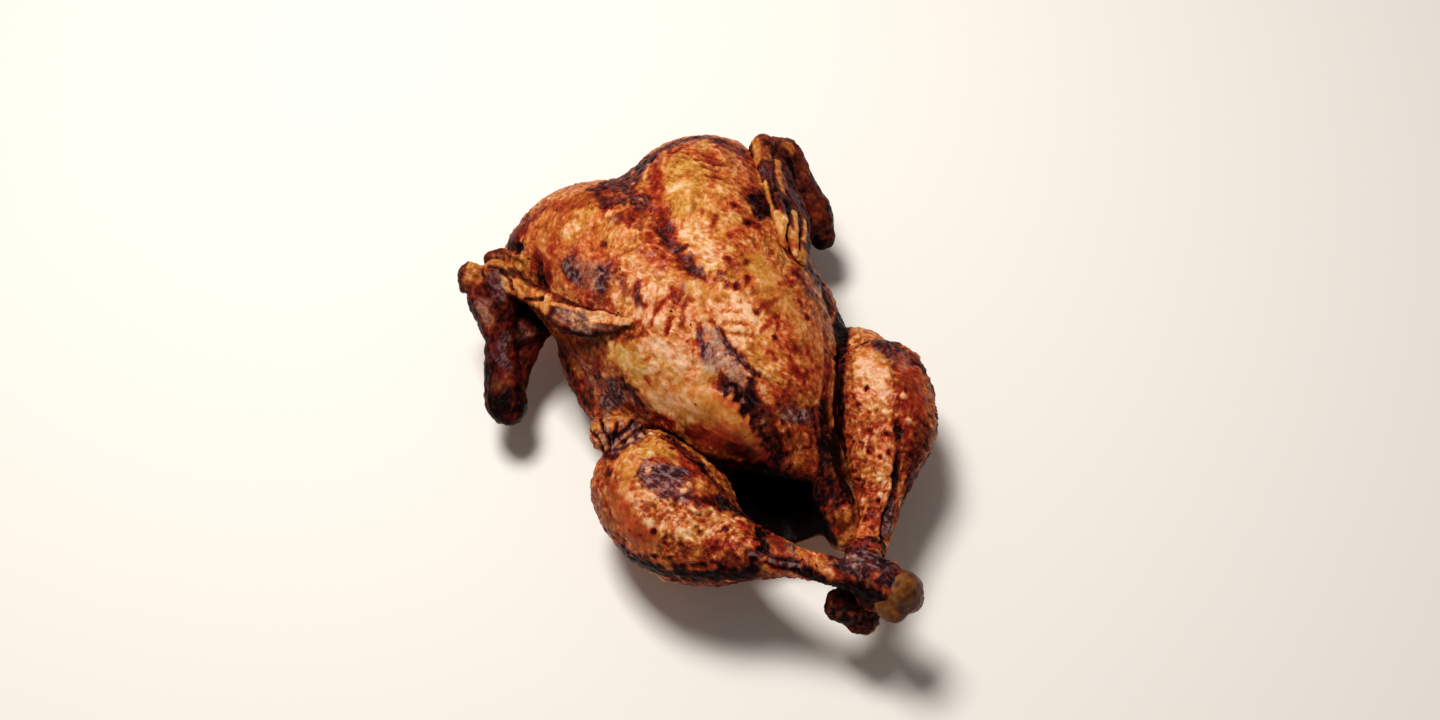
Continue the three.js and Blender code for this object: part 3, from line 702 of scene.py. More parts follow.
# what is laid on the legs
legBase = {"browning": 0.42, "redness": 0.1, "crackle": 0.9, "juice": 0.4}
leftLegMarks = {
    # painted shade on the underside
    "shadedUnderside": at([(-60, -30, 14), (-30, -100, 36)], 24, 20, 0.86, ragged=3),
    # painted shade under the ankle
    "ankleUnderShade": at([(-8, -122, 52), (8, -138, 46), (14, -144, 46)], 9, 5, 0.9, 0.2, ragged=1),
    "goldTop": seen([(632, 446), (655, 446), (676, 450)], 7, 7, 0.32, -0.6, crackle=0.6),
    "goldLeft": seen([(622, 462), (632, 470)], 5, 5, 0.3, -0.3, crackle=0.3),
    "brownLeft": seen([(598, 462), (606, 480)], 5, 5, 0.46, 0.2),
    "smoothRed": seen([(618, 496), (624, 518), (634, 534), (646, 536)], 6.5, 5, 0.46, 0.6, crackle=0.12,
                      juice=0.8),
    "roseRed": seen([(622, 512), (630, 524)], 4, 5, 0.42, 0.9, crackle=0.08),
    "oliveRim": seen([(597, 498), (604, 520), (612, 532)], 3.4, 3.5, 0.46, -0.4, crackle=0.5),
    # pink and peach skin with painted sheen on it, here and in the next line
    "pinkMiddle": seen([(650, 500), (668, 512), (690, 520)], 9, 8, 0.02, 0.4, crackle=1),
    "peachMiddle": seen([(690, 526), (715, 530), (735, 540)], 7.5, 8, 0.08, 0.1, crackle=1),
    "goldDab": seen([(708, 509), (716, 522)], 3, 3.5, 0.24, -0.5),
    "oliveLower": seen([(662, 545), (680, 552), (712, 556), (738, 560)], 5, 6, 0.5, -0.1, ragged=1),
    "redLow": seen([(712, 543), (734, 546)], 3, 4, 0.55, 0.8),
    "brownUpper": seen([(690, 456), (704, 478), (722, 494), (744, 514)], 5, 5, 0.62, 0.3, ragged=1),
    "redUpper": seen([(684, 456), (690, 470)], 3, 4, 0.6, 0.7),
    "tanUpper": seen([(700, 484), (712, 492), (722, 498)], 2.6, 3, 0.36, -0.1),
    "blackUpper": seen([(722, 502), (736, 511), (754, 521), (768, 528)], 4, 3.5, 0.98, ragged=0.6, smoke=0.3),
    "scorched": seen([(646, 472), (662, 472), (678, 474)], 5, 4, 0.86, 0.5, ragged=1, smoke=0.85),
    "scorchedLow": seen([(652, 482), (668, 488), (684, 492)], 4.5, 5, 0.56, 0.5, ragged=1, smoke=0.7),
    "scorchedRed": seen([(648, 463), (660, 462)], 3, 3, 0.5, 0.9),
    "spotsRed": seen([(692, 496), (700, 504), (712, 500)], 2.4, 3, 0.76, 0.6),
    "redEnd": seen([(742, 528), (750, 540), (756, 548)], 4, 4.5, 0.5, 0.7, ragged=1),
    # painted shade along the drumstick's lower rim
    "lowRimShade": seen([(604, 531), (618, 550), (636, 562), (668, 572), (710, 575), (745, 573)], 5.4, 6, 0.95,
                    0.3, ragged=2, crackle=0.4),
    "meatEnd": seen([(762, 528), (764, 546), (756, 560), (748, 576)], 3.2, 3, 0.98, ragged=1, lift=-1.6),
    # painted glint at the meat's end
    "endGlint": seen([(748, 552), (760, 555)], 1.3, 1.5, 0.8, smoke=0.9),
    "redShank": seen([(775, 538), (782, 546)], 3.6, 3, 0.56, 1.0, crackle=0.3, juice=0.9),
    "darkShankTop": seen([(772, 530), (784, 534)], 1.8, 2, 0.9, 0.3),
    "greenGrey": seen([(790, 546), (796, 552)], 2.6, 3, 0.55, -0.8, smoke=0.7),
    "tanShank": seen([(802, 550), (816, 558), (826, 566)], 4, 4, 0.34, 0.1, ragged=1, smoke=0.2, crackle=0.8),
    "darkShank": seen([(772, 562), (790, 564), (808, 572), (826, 584)], 2.8, 2.4, 0.98),
    # painted highlight along the shank
    "shankHighlight": seen([(770, 560), (786, 564), (800, 566)], 1, 1.2, 0.7, smoke=0.9, lift=0.6),
    "fatDot": seen([(765, 568)], 1.8, 1.4, 0.5, -0.8, crackle=0.1),
    "knot": seen([(838, 552), (862, 562), (884, 572)], 8, 5, 0.95, ragged=1, smoke=0.4),
    "knotSheen": seen([(842, 556), (854, 560), (868, 562)], 4.2, 3, 0.7, -0.2, ragged=0.8, smoke=1.0,
                      juice=1),
    "knotRed": seen([(842, 574), (850, 578)], 2.2, 2.4, 0.66, 0.8),
    "knotRedRight": seen([(874, 574)], 3, 3, 0.7, 0.7),
    # painted shade in the gap under the knot
    "knotUnderShade": seen([(836, 588), (856, 592), (872, 598)], 6, 4, 1.05),
    "knotLow": seen([(856, 600), (866, 605), (877, 606)], 5, 4, 0.9, 0.2, ragged=1),
    "ankle": seen([(896, 572), (904, 582)], 6, 5, 0.86, 0.1, smoke=0.35),
    "oliveAnkle": seen([(910, 592), (900, 606)], 6, 5, 0.62, -0.6, crackle=0.3),
    # the folded skin of the knee
    "kneeTan": seen([(594, 420), (612, 420), (628, 422)], 6, 5, 0.34, -0.3, smoke=0.2, crackle=0.6),
    "kneeViolet": seen([(604, 438), (618, 446), (640, 430)], 4.5, 4, 0.72, 0.1, smoke=1.0, crackle=0.6),
    "kneeDark": seen([(606, 450), (614, 456)], 2.6, 3, 0.9, 0.4),
    # painted shade where the drumstick meets the body
    "upperEdgeShade": seen([(668, 438), (686, 452), (704, 470)], 3, 3, 0.84, 0.3, ragged=0.6),
    "rosePale": seen([(624, 488), (632, 494)], 4, 4, 0.2, 0.3),
    "highlightBrown": seen([(648, 508), (652, 516)], 4, 4, 0.4, 0.3),
    "lowGold": seen([(730, 560), (742, 562)], 3, 3, 0.66, -0.1, ragged=0.6),
    **several("kneeFold", 1.0, 1.3, 0.95, 0.1, smoke=0.2, lift=-1.5, runs=[
        [(601, 412), (602, 430), (606, 446)], [(616, 410), (616, 428), (612, 440)],
        [(590, 430), (600, 440), (604, 452)], [(636, 414), (628, 428), (616, 436)],
        [(648, 424), (632, 434), (620, 446)], [(606, 430), (610, 452)],
    ]),
    **several("kneeRidge", 1.4, 1.5, 0.34, smoke=0.5, lift=1.4, runs=[
        [(596, 414), (594, 426)], [(609, 412), (608, 430)], [(624, 412), (622, 426)],
        [(644, 424), (626, 436), (614, 448)], [(602, 436), (607, 448)],
    ]),
    **several("goldBead", 1.6, 1.8, 0.1, -0.4, lift=0.8, runs=[
        (641, 436), (652, 434), (640, 451), (651, 453), (630, 441), (626, 462),
    ]),
    **several("darkPit", 1.4, 1.6, 0.85, 0.4, lift=-0.6, runs=[
        (653, 532), (672, 448), (677, 444), (664, 494), (676, 500), (704, 520), (700, 533), (681, 544),
        (726, 528),
    ]),
    # painted white glints
    **several("whiteGlint", 1.5, 1.6, 0.0, 0.1, smoke=0.0, runs=[
        (650, 524), (647, 520), (664, 524), (648, 470), (684, 490),
    ]),
    **fanned("crumple", [(642, 492), (658, 500)], [(726, 530), (750, 546)], count=12, seed=8, jitter=3.5,
             wide=0.7, soft=1.2, browning=0.44, redness=0.6, lift=-0.7, strength=0.6),
    **fanned("crumpleHigh", [(650, 508), (662, 494)], [(722, 548), (740, 532)], count=12, seed=18, jitter=3.5,
             wide=0.7, soft=1.2, browning=0.4, redness=0.5, lift=-0.7, strength=0.6),
}
rightLegMarks = {
    # painted shade on the underside
    "shadedUnderside": at([(70, -30, 14), (40, -100, 30)], 22, 20, 0.86, ragged=3),
    "darkTop": seen([(850, 324), (868, 330), (884, 342), (898, 356)], 8.5, 5, 0.82, 0.4, ragged=1,
                    smoke=0.45),
    "goldTop": seen([(858, 354), (872, 358), (882, 368)], 5.5, 5, 0.2, -0.1, crackle=0.6),
    # pale skin carrying the right drumstick's painted highlight
    "paleUpper": seen([(862, 368), (872, 376), (876, 392)], 6, 6, 0.0, -0.1),
    "pinkUpper": seen([(866, 396), (886, 400), (894, 404)], 4, 5, 0.16, 0.6),
    "goldMiddle": seen([(874, 406), (880, 414)], 4, 5, 0.2, -0.3),
    "redMiddle": seen([(864, 424), (880, 430), (894, 428)], 4.5, 5, 0.44, 0.8, ragged=1),
    "goldLower": seen([(868, 450), (872, 470), (884, 474)], 6, 6, 0.34, -0.1),
    "pinkLower": seen([(884, 450), (886, 466)], 3, 4, 0.2, 0.5),
    "orangeLower": seen([(862, 500), (872, 512), (880, 518)], 5.5, 6, 0.44, 0.4, ragged=1),
    "tanEnd": seen([(862, 526), (868, 534)], 4, 4, 0.3, 0.2),
    "leftBrown": seen([(848, 350), (847, 384), (850, 420), (852, 460), (853, 500), (852, 525)], 2.8, 4, 0.5,
                      0.5, ragged=1),
    # painted shade where the drumstick meets the body
    "innerEdgeShade": seen([(842, 345), (840, 400), (844, 450), (848, 495)], 2.4, 3, 0.9, 0.4),
    "redOuter": seen([(904, 366), (916, 382), (918, 404)], 6.5, 6, 0.5, 0.9, crackle=0.35, juice=0.8),
    "darkRedOuter": seen([(904, 396), (902, 420), (906, 436)], 4.5, 5, 0.56, 0.9, ragged=1, smoke=0.1),
    # the outer side turned from the light: partly dark brown skin, partly painted shade, here and in the next
    # line
    "edgeOuter": seen([(914, 358), (930, 378), (938, 408), (938, 430)], 3, 4, 0.82, 0.3),
    "darkOuter": seen([(922, 436), (916, 462), (910, 486)], 7, 6, 0.7, 0.1, ragged=1, smoke=0.05),
    "oliveOuter": seen([(924, 468), (914, 484)], 3.5, 4, 0.7, -0.5),
    "crease": seen([(898, 424), (898, 452), (896, 480), (893, 500), (885, 522), (882, 542)], 1.7, 1.6, 0.98,
                   0.2, lift=-2.2),
    "violetLow": seen([(893, 504), (890, 518), (886, 532)], 2, 2, 0.8, smoke=0.8),
    "paleDab": seen([(889, 433)], 2.4, 2.2, 0.02, 0.2, lift=0.8),
    "knot": seen([(850, 548), (874, 552), (886, 560)], 7, 4, 0.95, ragged=1, smoke=0.3),
    "collar": seen([(846, 541), (860, 543), (880, 548)], 2.6, 3, 0.6, 0.5, smoke=0.3),
    "ankle": seen([(834, 606), (858, 620)], 16, 5, 0.87, 0.0, ragged=1.5, smoke=0.25),
    "ankleOlive": seen([(832, 596), (828, 606)], 2.4, 3, 0.62, -0.5),
    "paleLow": seen([(883, 474), (886, 492)], 4, 4, 0.2, 0.2),
    "paleOuter": seen([(888, 430), (891, 444)], 3.5, 4, 0.26, 0.5),
    "shankPale": seen([(804, 548), (808, 552)], 3, 3, 0.3, 0.0),
    **several("darkPit", 1.3, 1.6, 0.86, 0.5, lift=-0.6, runs=[
        (887, 434), (867, 388), (880, 457), (862, 484), (879, 500), (868, 452), (888, 452), (858, 404),
        (864, 518), (872, 528),
    ]),
    # painted pink glints
    **several("pinkGlint", 1.6, 1.8, 0.02, 0.5, lift=0.6, runs=[
        (865, 443), (876, 432), (864, 478), (878, 478), (862, 502), (868, 392), (904, 396), (908, 420),
        (888, 378), (860, 365),
    ]),
    **fanned("crumple", [(852, 408), (872, 404)], [(854, 512), (880, 516)], count=11, seed=28, jitter=3.0,
             wide=0.7, soft=1.2, browning=0.5, redness=0.6, lift=-0.7, strength=0.6),
    **fanned("crumpleRight", [(874, 396), (896, 404)], [(872, 496), (890, 500)], count=9, seed=38, jitter=3.0,
             wide=0.7, soft=1.2, browning=0.44, redness=0.6, lift=-0.7, strength=0.6),
}

# what is laid on the wings
wingBase = {"browning": 0.8, "redness": 0.2, "smoke": 0.1, "crackle": 0.42, "juice": 0.3}
leftWingMarks = {
    "wristTop": seen([(472, 278), (480, 266), (496, 260), (508, 266)], 5.5, 4, 0.4, -0.4, ragged=1,
                     smoke=0.0),
    "wristBrown": seen([(474, 290), (482, 298)], 4, 4, 0.66, 0.2, smoke=0.1),
    "wristViolet": seen([(492, 276), (500, 284), (500, 296)], 3.2, 3.5, 0.6, smoke=0.85),
    "wristGold": seen([(508, 284), (520, 291), (536, 297), (545, 301)], 4.2, 3, 0.3, -0.3, crackle=0.6),
    "wristDark": seen([(512, 270), (524, 276), (536, 280)], 2.4, 2.4, 0.88, 0.2),
    "wristTan": seen([(526, 264), (530, 272)], 2, 2.4, 0.5, -0.2),
    # painted shade in the pocket between the tip and the forearm
    "pocketShade": seen([(520, 306), (536, 312), (548, 326)], 5, 3.5, 1.05, smoke=0.1, lift=-1.5),
    "tanKnob": seen([(543, 304), (546, 310)], 2.4, 2.4, 0.3, -0.2, crackle=0.3),
    "tipFace": seen([(560, 314), (585, 320), (612, 322)], 4.4, 3.5, 0.48, -0.8, smoke=0.55, crackle=0.8),
    "tipYellow": seen([(570, 314), (572, 318)], 1.8, 2, 0.26, -0.7),
    "tipPale": seen([(592, 318), (612, 321), (628, 323)], 2, 2, 0.12, -0.1, smoke=0.0),
    "tipBrown": seen([(598, 326), (610, 326)], 1.2, 1.4, 0.6, -0.2),
    "tipRim": seen([(552, 303), (575, 309), (605, 314), (632, 321)], 1.1, 1.2, 0.22, -0.2, lift=0.4),
    # painted shade along the tip's lower edge
    "tipUnderShade": seen([(562, 330), (580, 335), (605, 336), (628, 331)], 1.9, 1.8, 0.97),
    "tipLow": seen([(572, 328), (590, 332)], 1.4, 1.6, 0.5, smoke=0.8),
    "tipEnd": seen([(624, 329), (634, 327)], 2, 2, 0.84, 0.8),
    "armRed": seen([(508, 362), (510, 378)], 3, 4, 0.66, 0.4),
    "armViolet": seen([(507, 338), (497, 352), (506, 364)], 3, 3.5, 0.72, smoke=0.8),
    "armOlive": seen([(496, 386), (500, 392)], 3, 3, 0.7, -0.5),
    "armEnd": seen([(502, 404), (506, 420)], 7, 6, 0.92, 0.2, smoke=0.2),
    "armEdge": seen([(518, 390), (518, 410)], 2.6, 3, 0.98),
    "armLeftEdge": seen([(487, 350), (486, 390), (493, 416)], 1.6, 2, 0.98),
    "wristGrey": seen([(482, 304), (488, 318)], 4, 4, 0.5, -0.3, ragged=0.6, smoke=0.6),
    **several("wristFold", 0.9, 1.1, 0.86, lift=-1.1, runs=[
        [(482, 270), (484, 284), (488, 300)], [(490, 284), (497, 298), (504, 306)],
        [(500, 270), (510, 280), (512, 290)], [(488, 266), (502, 268), (514, 276)],
        [(518, 300), (532, 300), (542, 298)],
    ]),
}
rightWingMarks = {
    "stubGold": seen([(755, 140), (757, 154), (756, 164)], 3.2, 3, 0.3, -0.5, crackle=0.5),
    "stubOlive": seen([(766, 148), (768, 158)], 2.4, 2.4, 0.5, -0.5),
    "crown": seen([(764, 136), (776, 136), (786, 144)], 3.4, 3, 0.7, 0.1),
    "crownOlive": seen([(786, 142), (795, 153)], 2.6, 2.4, 0.46, -0.7, ragged=0.5),
    "mauve": seen([(763, 168), (768, 176)], 2.8, 2.8, 0.74, 0.4, smoke=0.6),
    "strip": seen([(766, 182), (770, 196), (774, 210), (778, 226), (782, 244)], 1.9, 1.6, 0.28, -0.3,
                  crackle=0.3, lift=0.6),
    "ridge": seen([(777, 162), (779, 178), (783, 192)], 1.9, 1.8, 0.36, -0.3, crackle=0.4, lift=0.8),
    "ridgeBrown": seen([(784, 178), (788, 190)], 2, 2.2, 0.52, 0.0),
    "hollow": seen([(788, 204), (792, 211)], 3, 2.6, 1.05, lift=-1.6),
    "hollowRed": seen([(784, 206), (788, 212)], 1.3, 1.6, 0.85, 0.8),
    "lowRidges": seen([(784, 226), (792, 240), (797, 256)], 7, 4, 0.3, -0.3),
    "outer": seen([(802, 162), (815, 182), (822, 206), (824, 232)], 7, 5, 0.78, 0.05, ragged=1, smoke=0.05),
    "outerLight": seen([(812, 206), (820, 216)], 3, 4, 0.7, 0.3),
    "outerEdge": seen([(800, 146), (816, 172), (826, 196), (832, 226), (826, 248)], 2, 3, 0.9, 0.1),
    "outerViolet": seen([(792, 192), (795, 198)], 2.2, 2.4, 0.76, smoke=0.8),
    "elbow": seen([(812, 240), (816, 250)], 4, 4, 1.0),
    **several("wingFold", 0.9, 1.1, 0.96, lift=-1.2, runs=[
        [(765, 166), (770, 186), (774, 202), (780, 218)], [(773, 156), (774, 172), (776, 190)],
        [(789, 212), (789, 232), (787, 246)], [(801, 216), (801, 236), (800, 250)], [(790, 160), (794, 180)],
    ]),
    **several("wingRidge", 1.7, 1.6, 0.26, -0.3, lift=0.8, runs=[
        [(777, 214), (781, 230), (785, 244)], [(795, 212), (796, 232), (795, 254)], [(805, 222), (804, 240)],
    ]),
}

ankleCrease = {"crease": seen([(896, 580), (892, 596), (894, 612)], 1.2, 1.4, lift=-0.8)}
dressed(carcassBody, carcassBase, breastMarks, 1)
dressed(leftDrumstick, legBase, leftLegMarks, 2)
dressed(rightDrumstick, legBase, rightLegMarks, 3)
dressed(leftWing, wingBase, leftWingMarks, 4)
dressed(rightWing, wingBase, rightWingMarks, 5)
dressed(ankleEnd, {"crackle": 0.5}, ankleCrease, 6)
print("marks laid")


def fill(tree, node, inputs):
    # sets a node's inputs, and links those that are given a socket
    for name, value in inputs.items():
        if isinstance(value, bpy.types.NodeSocket):
            tree.links.new(value, node.inputs[name])
        else:
            node.inputs[name].default_value = value


def add(tree, kind, inputs=None, **settings):
    node = tree.nodes.new(kind)
    for name, value in settings.items():
        setattr(node, name, value)
    fill(tree, node, inputs or {})
    return node


def calc(tree, operation, *values, clamp=False):
    inputs = dict(enumerate(values))
    return add(tree, "ShaderNodeMath", inputs, operation=operation, use_clamp=clamp).outputs[0]


def vectorCalc(tree, operation, *values):
    return add(tree, "ShaderNodeVectorMath", dict(enumerate(values)), operation=operation).outputs[0]


def scaledVector(tree, vector, scale):
    return add(tree, "ShaderNodeVectorMath", {0: vector, "Scale": scale}, operation="SCALE").outputs[0]


def stepUp(tree, value, start, end):
    # 0 below start, 1 above end, smooth in between
    inputs = {"Value": value, "From Min": start, "From Max": end}
    return add(tree, "ShaderNodeMapRange", inputs, interpolation_type="SMOOTHSTEP").outputs["Result"]


def noise(tree, place, scale, detail=0.0, roughness=0.5, distortion=0.0):
    # a cloudy texture; without a place it follows the mesh's own
    inputs = {"Scale": scale, "Detail": detail, "Roughness": roughness, "Distortion": distortion}
    if place is not None:
        inputs["Vector"] = place
    return add(tree, "ShaderNodeTexNoise", inputs).outputs


def attribute(tree, name):
    node = add(tree, "GeometryNodeInputNamedAttribute", {"Name": name}, data_type="FLOAT")
    return node.outputs["Attribute"]


def mixed(tree, share, first, second):
    return add(tree, "ShaderNodeMix", {"Factor": share, 6: first, 7: second}, data_type="RGBA").outputs[2]


def newGroup(name, kind, inputs, outputs):
    # a named tree; an input is given by the kind of its socket, or by the value that it starts with
    kinds = {int: "Int", float: "Float", tuple: "Vector"}
    group = bpy.data.node_groups.new(name, kind)
    for label, value in inputs.items():
        socket = value if isinstance(value, str) else kinds[type(value)]
        made = group.interface.new_socket(label, in_out="INPUT", socket_type="NodeSocket" + socket)
        if not isinstance(value, str):
            made.default_value = value
    for label, socket in outputs.items():
        group.interface.new_socket(label, in_out="OUTPUT", socket_type="NodeSocket" + socket)
    return group, group.nodes.new("NodeGroupInput").outputs, group.nodes.new("NodeGroupOutput").inputs


def applied(made, tree, values):
    # runs a tree on a piece with its named inputs and keeps the result as its mesh
    modifier = made.modifiers.new(tree.name, "NODES")
    modifier.node_group = tree
    for item in tree.interface.items_tree:
        if item.item_type == "SOCKET" and item.in_out == "INPUT" and item.name in values:
            modifier[item.identifier] = values[item.name]
    return finished(made)


def coatedOutput(group, geometry, material, out):
    # real geometry with its material, as both geometry trees end
    real = add(group, "GeometryNodeRealizeInstances", {"Geometry": geometry}).outputs[0]
    coated = add(group, "GeometryNodeSetMaterial", {"Geometry": real, "Material": material}).outputs[0]
    group.links.new(coated, out["Geometry"])


def linear(red, green, blue):
    # a colour given as it looks on screen, 0 to 255
    tone = [v / 255 for v in (red, green, blue)]
    return tuple(v / 12.92 if v <= 0.04045 else ((v + 0.055) / 1.055) ** 2.4 for v in tone) + (1.0,)


def colourRamp(tree, value, stops):
    # a ramp of colours, each at its place from 0 to 1
    ramp = add(tree, "ShaderNodeValToRGB", {"Fac": value})
    elements = ramp.color_ramp.elements
    for place, _ in stops[1:-1]:
        elements.new(place)
    for element, (place, tone) in zip(elements, stops):
        element.position = place
        element.color = linear(*tone)
    return ramp.outputs["Color"]


# The skin's folds are worked out in millimetres, in the mesh's relief and in the shader alike, so that the
# colours lie in the same folds. Squeezes say how far the noise is drawn out each way.
skin = {
    "stirScale": 0.14,
    "stirReach": 1.4,
    "areaScale": 0.045,
    "grainAngles": (0.7, -0.6),
    "foldSqueezes": ((0.42, 0.16, 0.3), (0.4, 0.18, 0.28)),
    "topSqueezes": ((0.52, 0.32, 0.44), (0.52, 0.32, 0.44)),
    "smoothShare": 0.15,  # of the relief that is left where the skin isn't crackled
    "tightScale": 0.4,
    "tightReach": 0.3,
    "crumpleScale": 0.36,
    "fineScale": 1.6,
    "blotchScale": 0.1,
    "hueScale": 0.12,
    "dotScale": 0.33,
    "dotRadius": 0.16,
    # how high each layer stands in the shader's relief
    "heights": {"crease": 0.45, "crumple": 1.3, "top": 0.8, "fine": 0.03},
}


def stirred(tree, place, scale, reach):
    # places moved about unevenly, so that what is drawn on them loses its straight edges
    centred = vectorCalc(tree, "SUBTRACT", noise(tree, place, scale)["Color"], (0.5, 0.5, 0.5))
    return vectorCalc(tree, "ADD", place, scaledVector(tree, centred, reach))


def grain(tree, place, area, squeezes, detail):
    # noise drawn out as skin wrinkles, one way in one area and another way in the next
    ways = []
    for angle, squeeze in zip(skin["grainAngles"], squeezes):
        inputs = {"Vector": place, "Angle": angle}
        turned = add(tree, "ShaderNodeVectorRotate", inputs, rotation_type="Z_AXIS").outputs[0]
        squeezed = vectorCalc(tree, "MULTIPLY", turned, squeeze)
        ways.append(noise(tree, squeezed, 1.0, detail, 0.55)[0])
    return calc(tree, "MULTIPLY_ADD", area, calc(tree, "SUBTRACT", ways[1], ways[0]), ways[0])


def skinFolds(tree, place):
    loose = stirred(tree, place, skin["stirScale"], skin["stirReach"])
    area = stepUp(tree, noise(tree, place, skin["areaScale"])[0], 0.44, 0.56)
    return loose, area, grain(tree, loose, area, skin["foldSqueezes"], 1.5)


def crackled(tree, crackle):
    # how much relief the skin keeps
    return calc(tree, "MULTIPLY_ADD", crackle, 1 - skin["smoothShare"], skin["smoothShare"])


def reliefTree():
    group, given, out = newGroup("skinRelief", "GeometryNodeTree", {
        "Geometry": "Geometry",
        "Blister Size": 4.0,
        "Blister Height": 0.4,
        "Fold Height": 1.5,
        "Lump Size": 14.0,
        "Lump Height": 0.6,
        "Skin": "Material",
    }, {"Geometry": "Geometry"})
    work = partial(calc, group)
    place = scaledVector(group, add(group, "GeometryNodeInputPosition").outputs[0], 1 / mm)
    loose, _, folds = skinFolds(group, place)
    cells = scaledVector(group, loose, work("DIVIDE", 1.0, given["Blister Size"]))
    bubbles = add(group, "ShaderNodeTexVoronoi", {"Vector": cells, "Scale": 1.0, "Smoothness": 0.4},
                  feature="SMOOTH_F1")
    blister = work("MULTIPLY", work("SUBTRACT", 0.45, bubbles.outputs["Distance"]), given["Blister Height"])
    folded = work("MULTIPLY", work("SUBTRACT", folds, 0.5), given["Fold Height"])
    wrinkled = work("MULTIPLY", work("ADD", blister, folded), crackled(group, attribute(group, "crackle")))
    sized = scaledVector(group, place, work("DIVIDE", 1.0, given["Lump Size"]))
    lumpy = work("MULTIPLY", work("SUBTRACT", noise(group, sized, 1.0, 1.0)[0], 0.5), given["Lump Height"])
    rise = work("MULTIPLY", work("ADD", wrinkled, lumpy), mm * 2)
    offset = scaledVector(group, add(group, "GeometryNodeInputNormal").outputs[0], rise)
    moved = add(group, "GeometryNodeSetPosition", {"Geometry": given["Geometry"], "Offset": offset})
    coatedOutput(group, moved.outputs[0], given["Skin"], out)
    return group


textureMasks = ("Crease", "Fold", "Crumple", "Top", "Blotch", "Hue", "Pepper")


def skinTextureGroup():
    # crackled, wrinkled skin: its height in millimetres and the masks that the colours follow
    group, given, out = newGroup("crackledSkin", "ShaderNodeTree",
                                 {"Vector": "Vector", "Cell Size": 2.4, "Crackle": 1.0},
                                 {label: "Float" for label in ("Height", *textureMasks)})
    work = partial(calc, group)
    place = scaledVector(group, given["Vector"], 1 / mm)
    loose, area, folds = skinFolds(group, place)
    tight = stirred(group, loose, skin["tightScale"], skin["tightReach"])
    cells = scaledVector(group, tight, work("DIVIDE", 1.0, given["Cell Size"]))

    def centred(value):
        return work("SUBTRACT", value, 0.5)

    def lines(away, wide):
        # 1 where it is nought away, fading out to either side
        return work("SUBTRACT", 1.0, stepUp(group, away, 0.0, wide))

    def veins(scale, wide, share):
        inputs = {"Vector": cells, "Scale": scale}
        edge = add(group, "ShaderNodeTexVoronoi", inputs, feature="DISTANCE_TO_EDGE").outputs["Distance"]
        return work("MULTIPLY", lines(edge, wide), share)

    crumple = noise(group, tight, skin["crumpleScale"], 1.6)[0]
    tops = grain(group, loose, area, skin["topSqueezes"], 1.0)
    foldLine = work("MULTIPLY", lines(work("ABSOLUTE", centred(folds)), 0.07), 0.7)
    crease = work("MAXIMUM", work("MAXIMUM", veins(1.0, 0.3, 0.7), veins(2.1, 0.35, 0.4)), foldLine)
    uneven = crackled(group, given["Crackle"])
    high = skin["heights"]
    height = work("MULTIPLY", work("SUBTRACT", 1.0, crease), high["crease"])
    height = work("ADD", height, work("MULTIPLY", crumple, high["crumple"]))
    height = work("ADD", height, work("MULTIPLY", tops, high["top"]))
    fine = noise(group, place, skin["fineScale"], 2.0)[0]
    dots = add(group, "ShaderNodeTexVoronoi", {"Vector": place, "Scale": skin["dotScale"]}, feature="F1")
    dotColour = add(group, "ShaderNodeSeparateColor", {0: dots.outputs["Color"]}).outputs[0]
    beside = vectorCalc(group, "ADD", loose, (40.0, 0.0, 0.0))
    values = {
        "Height": work("MULTIPLY_ADD", fine, high["fine"], work("MULTIPLY", height, uneven)),
        "Crease": work("MULTIPLY", crease, uneven),
        "Fold": work("MULTIPLY", centred(folds), uneven),
        "Crumple": work("MULTIPLY", centred(crumple), uneven),
        # the wrinkle tops: relief here, and in the colours the place of painted highlights and glints
        "Top": work("MULTIPLY", stepUp(group, tops, 0.44, 0.68), uneven),
        "Blotch": centred(noise(group, place, skin["blotchScale"], 4.0, 0.6, 0.4)[0]),
        "Hue": centred(noise(group, beside, skin["hueScale"], 3.0)[0]),
        "Pepper": work("MULTIPLY", work("LESS_THAN", dots.outputs["Distance"], skin["dotRadius"]),
                       stepUp(group, dotColour, 0.6, 0.65)),
    }
    for label, value in values.items():
        group.links.new(value, out[label])
    return group


# from barely coloured to burnt, as it looks on screen: the golden and the red side of each tone
browningStops = [
    (0.0, (228, 190, 146), (234, 170, 132)),
    (0.15, (214, 160, 88), (220, 138, 88)),
    (0.3, (196, 134, 48), (198, 94, 44)),
    (0.45, (166, 98, 34), (166, 56, 26)),
    (0.6, (128, 68, 28), (130, 32, 18)),
    (0.75, (86, 42, 22), (94, 20, 14)),
    (0.88, (50, 23, 15), (58, 12, 12)),
    (1.0, (12, 7, 6), (18, 6, 6)),
]
# cream and tan are painted highlights on wrinkle tops; the smoke tints are the smoke tone with painted glints
# and sheen; pepper is pepper
tints = {
    "cream": (244, 208, 168),
    "tan": (228, 166, 104),
    "paleSmokeSheen": (172, 138, 120),
    "darkSmoke": (62, 30, 36),
    "smokeGlint": (166, 130, 124),
    "pepper": (60, 26, 20),
}


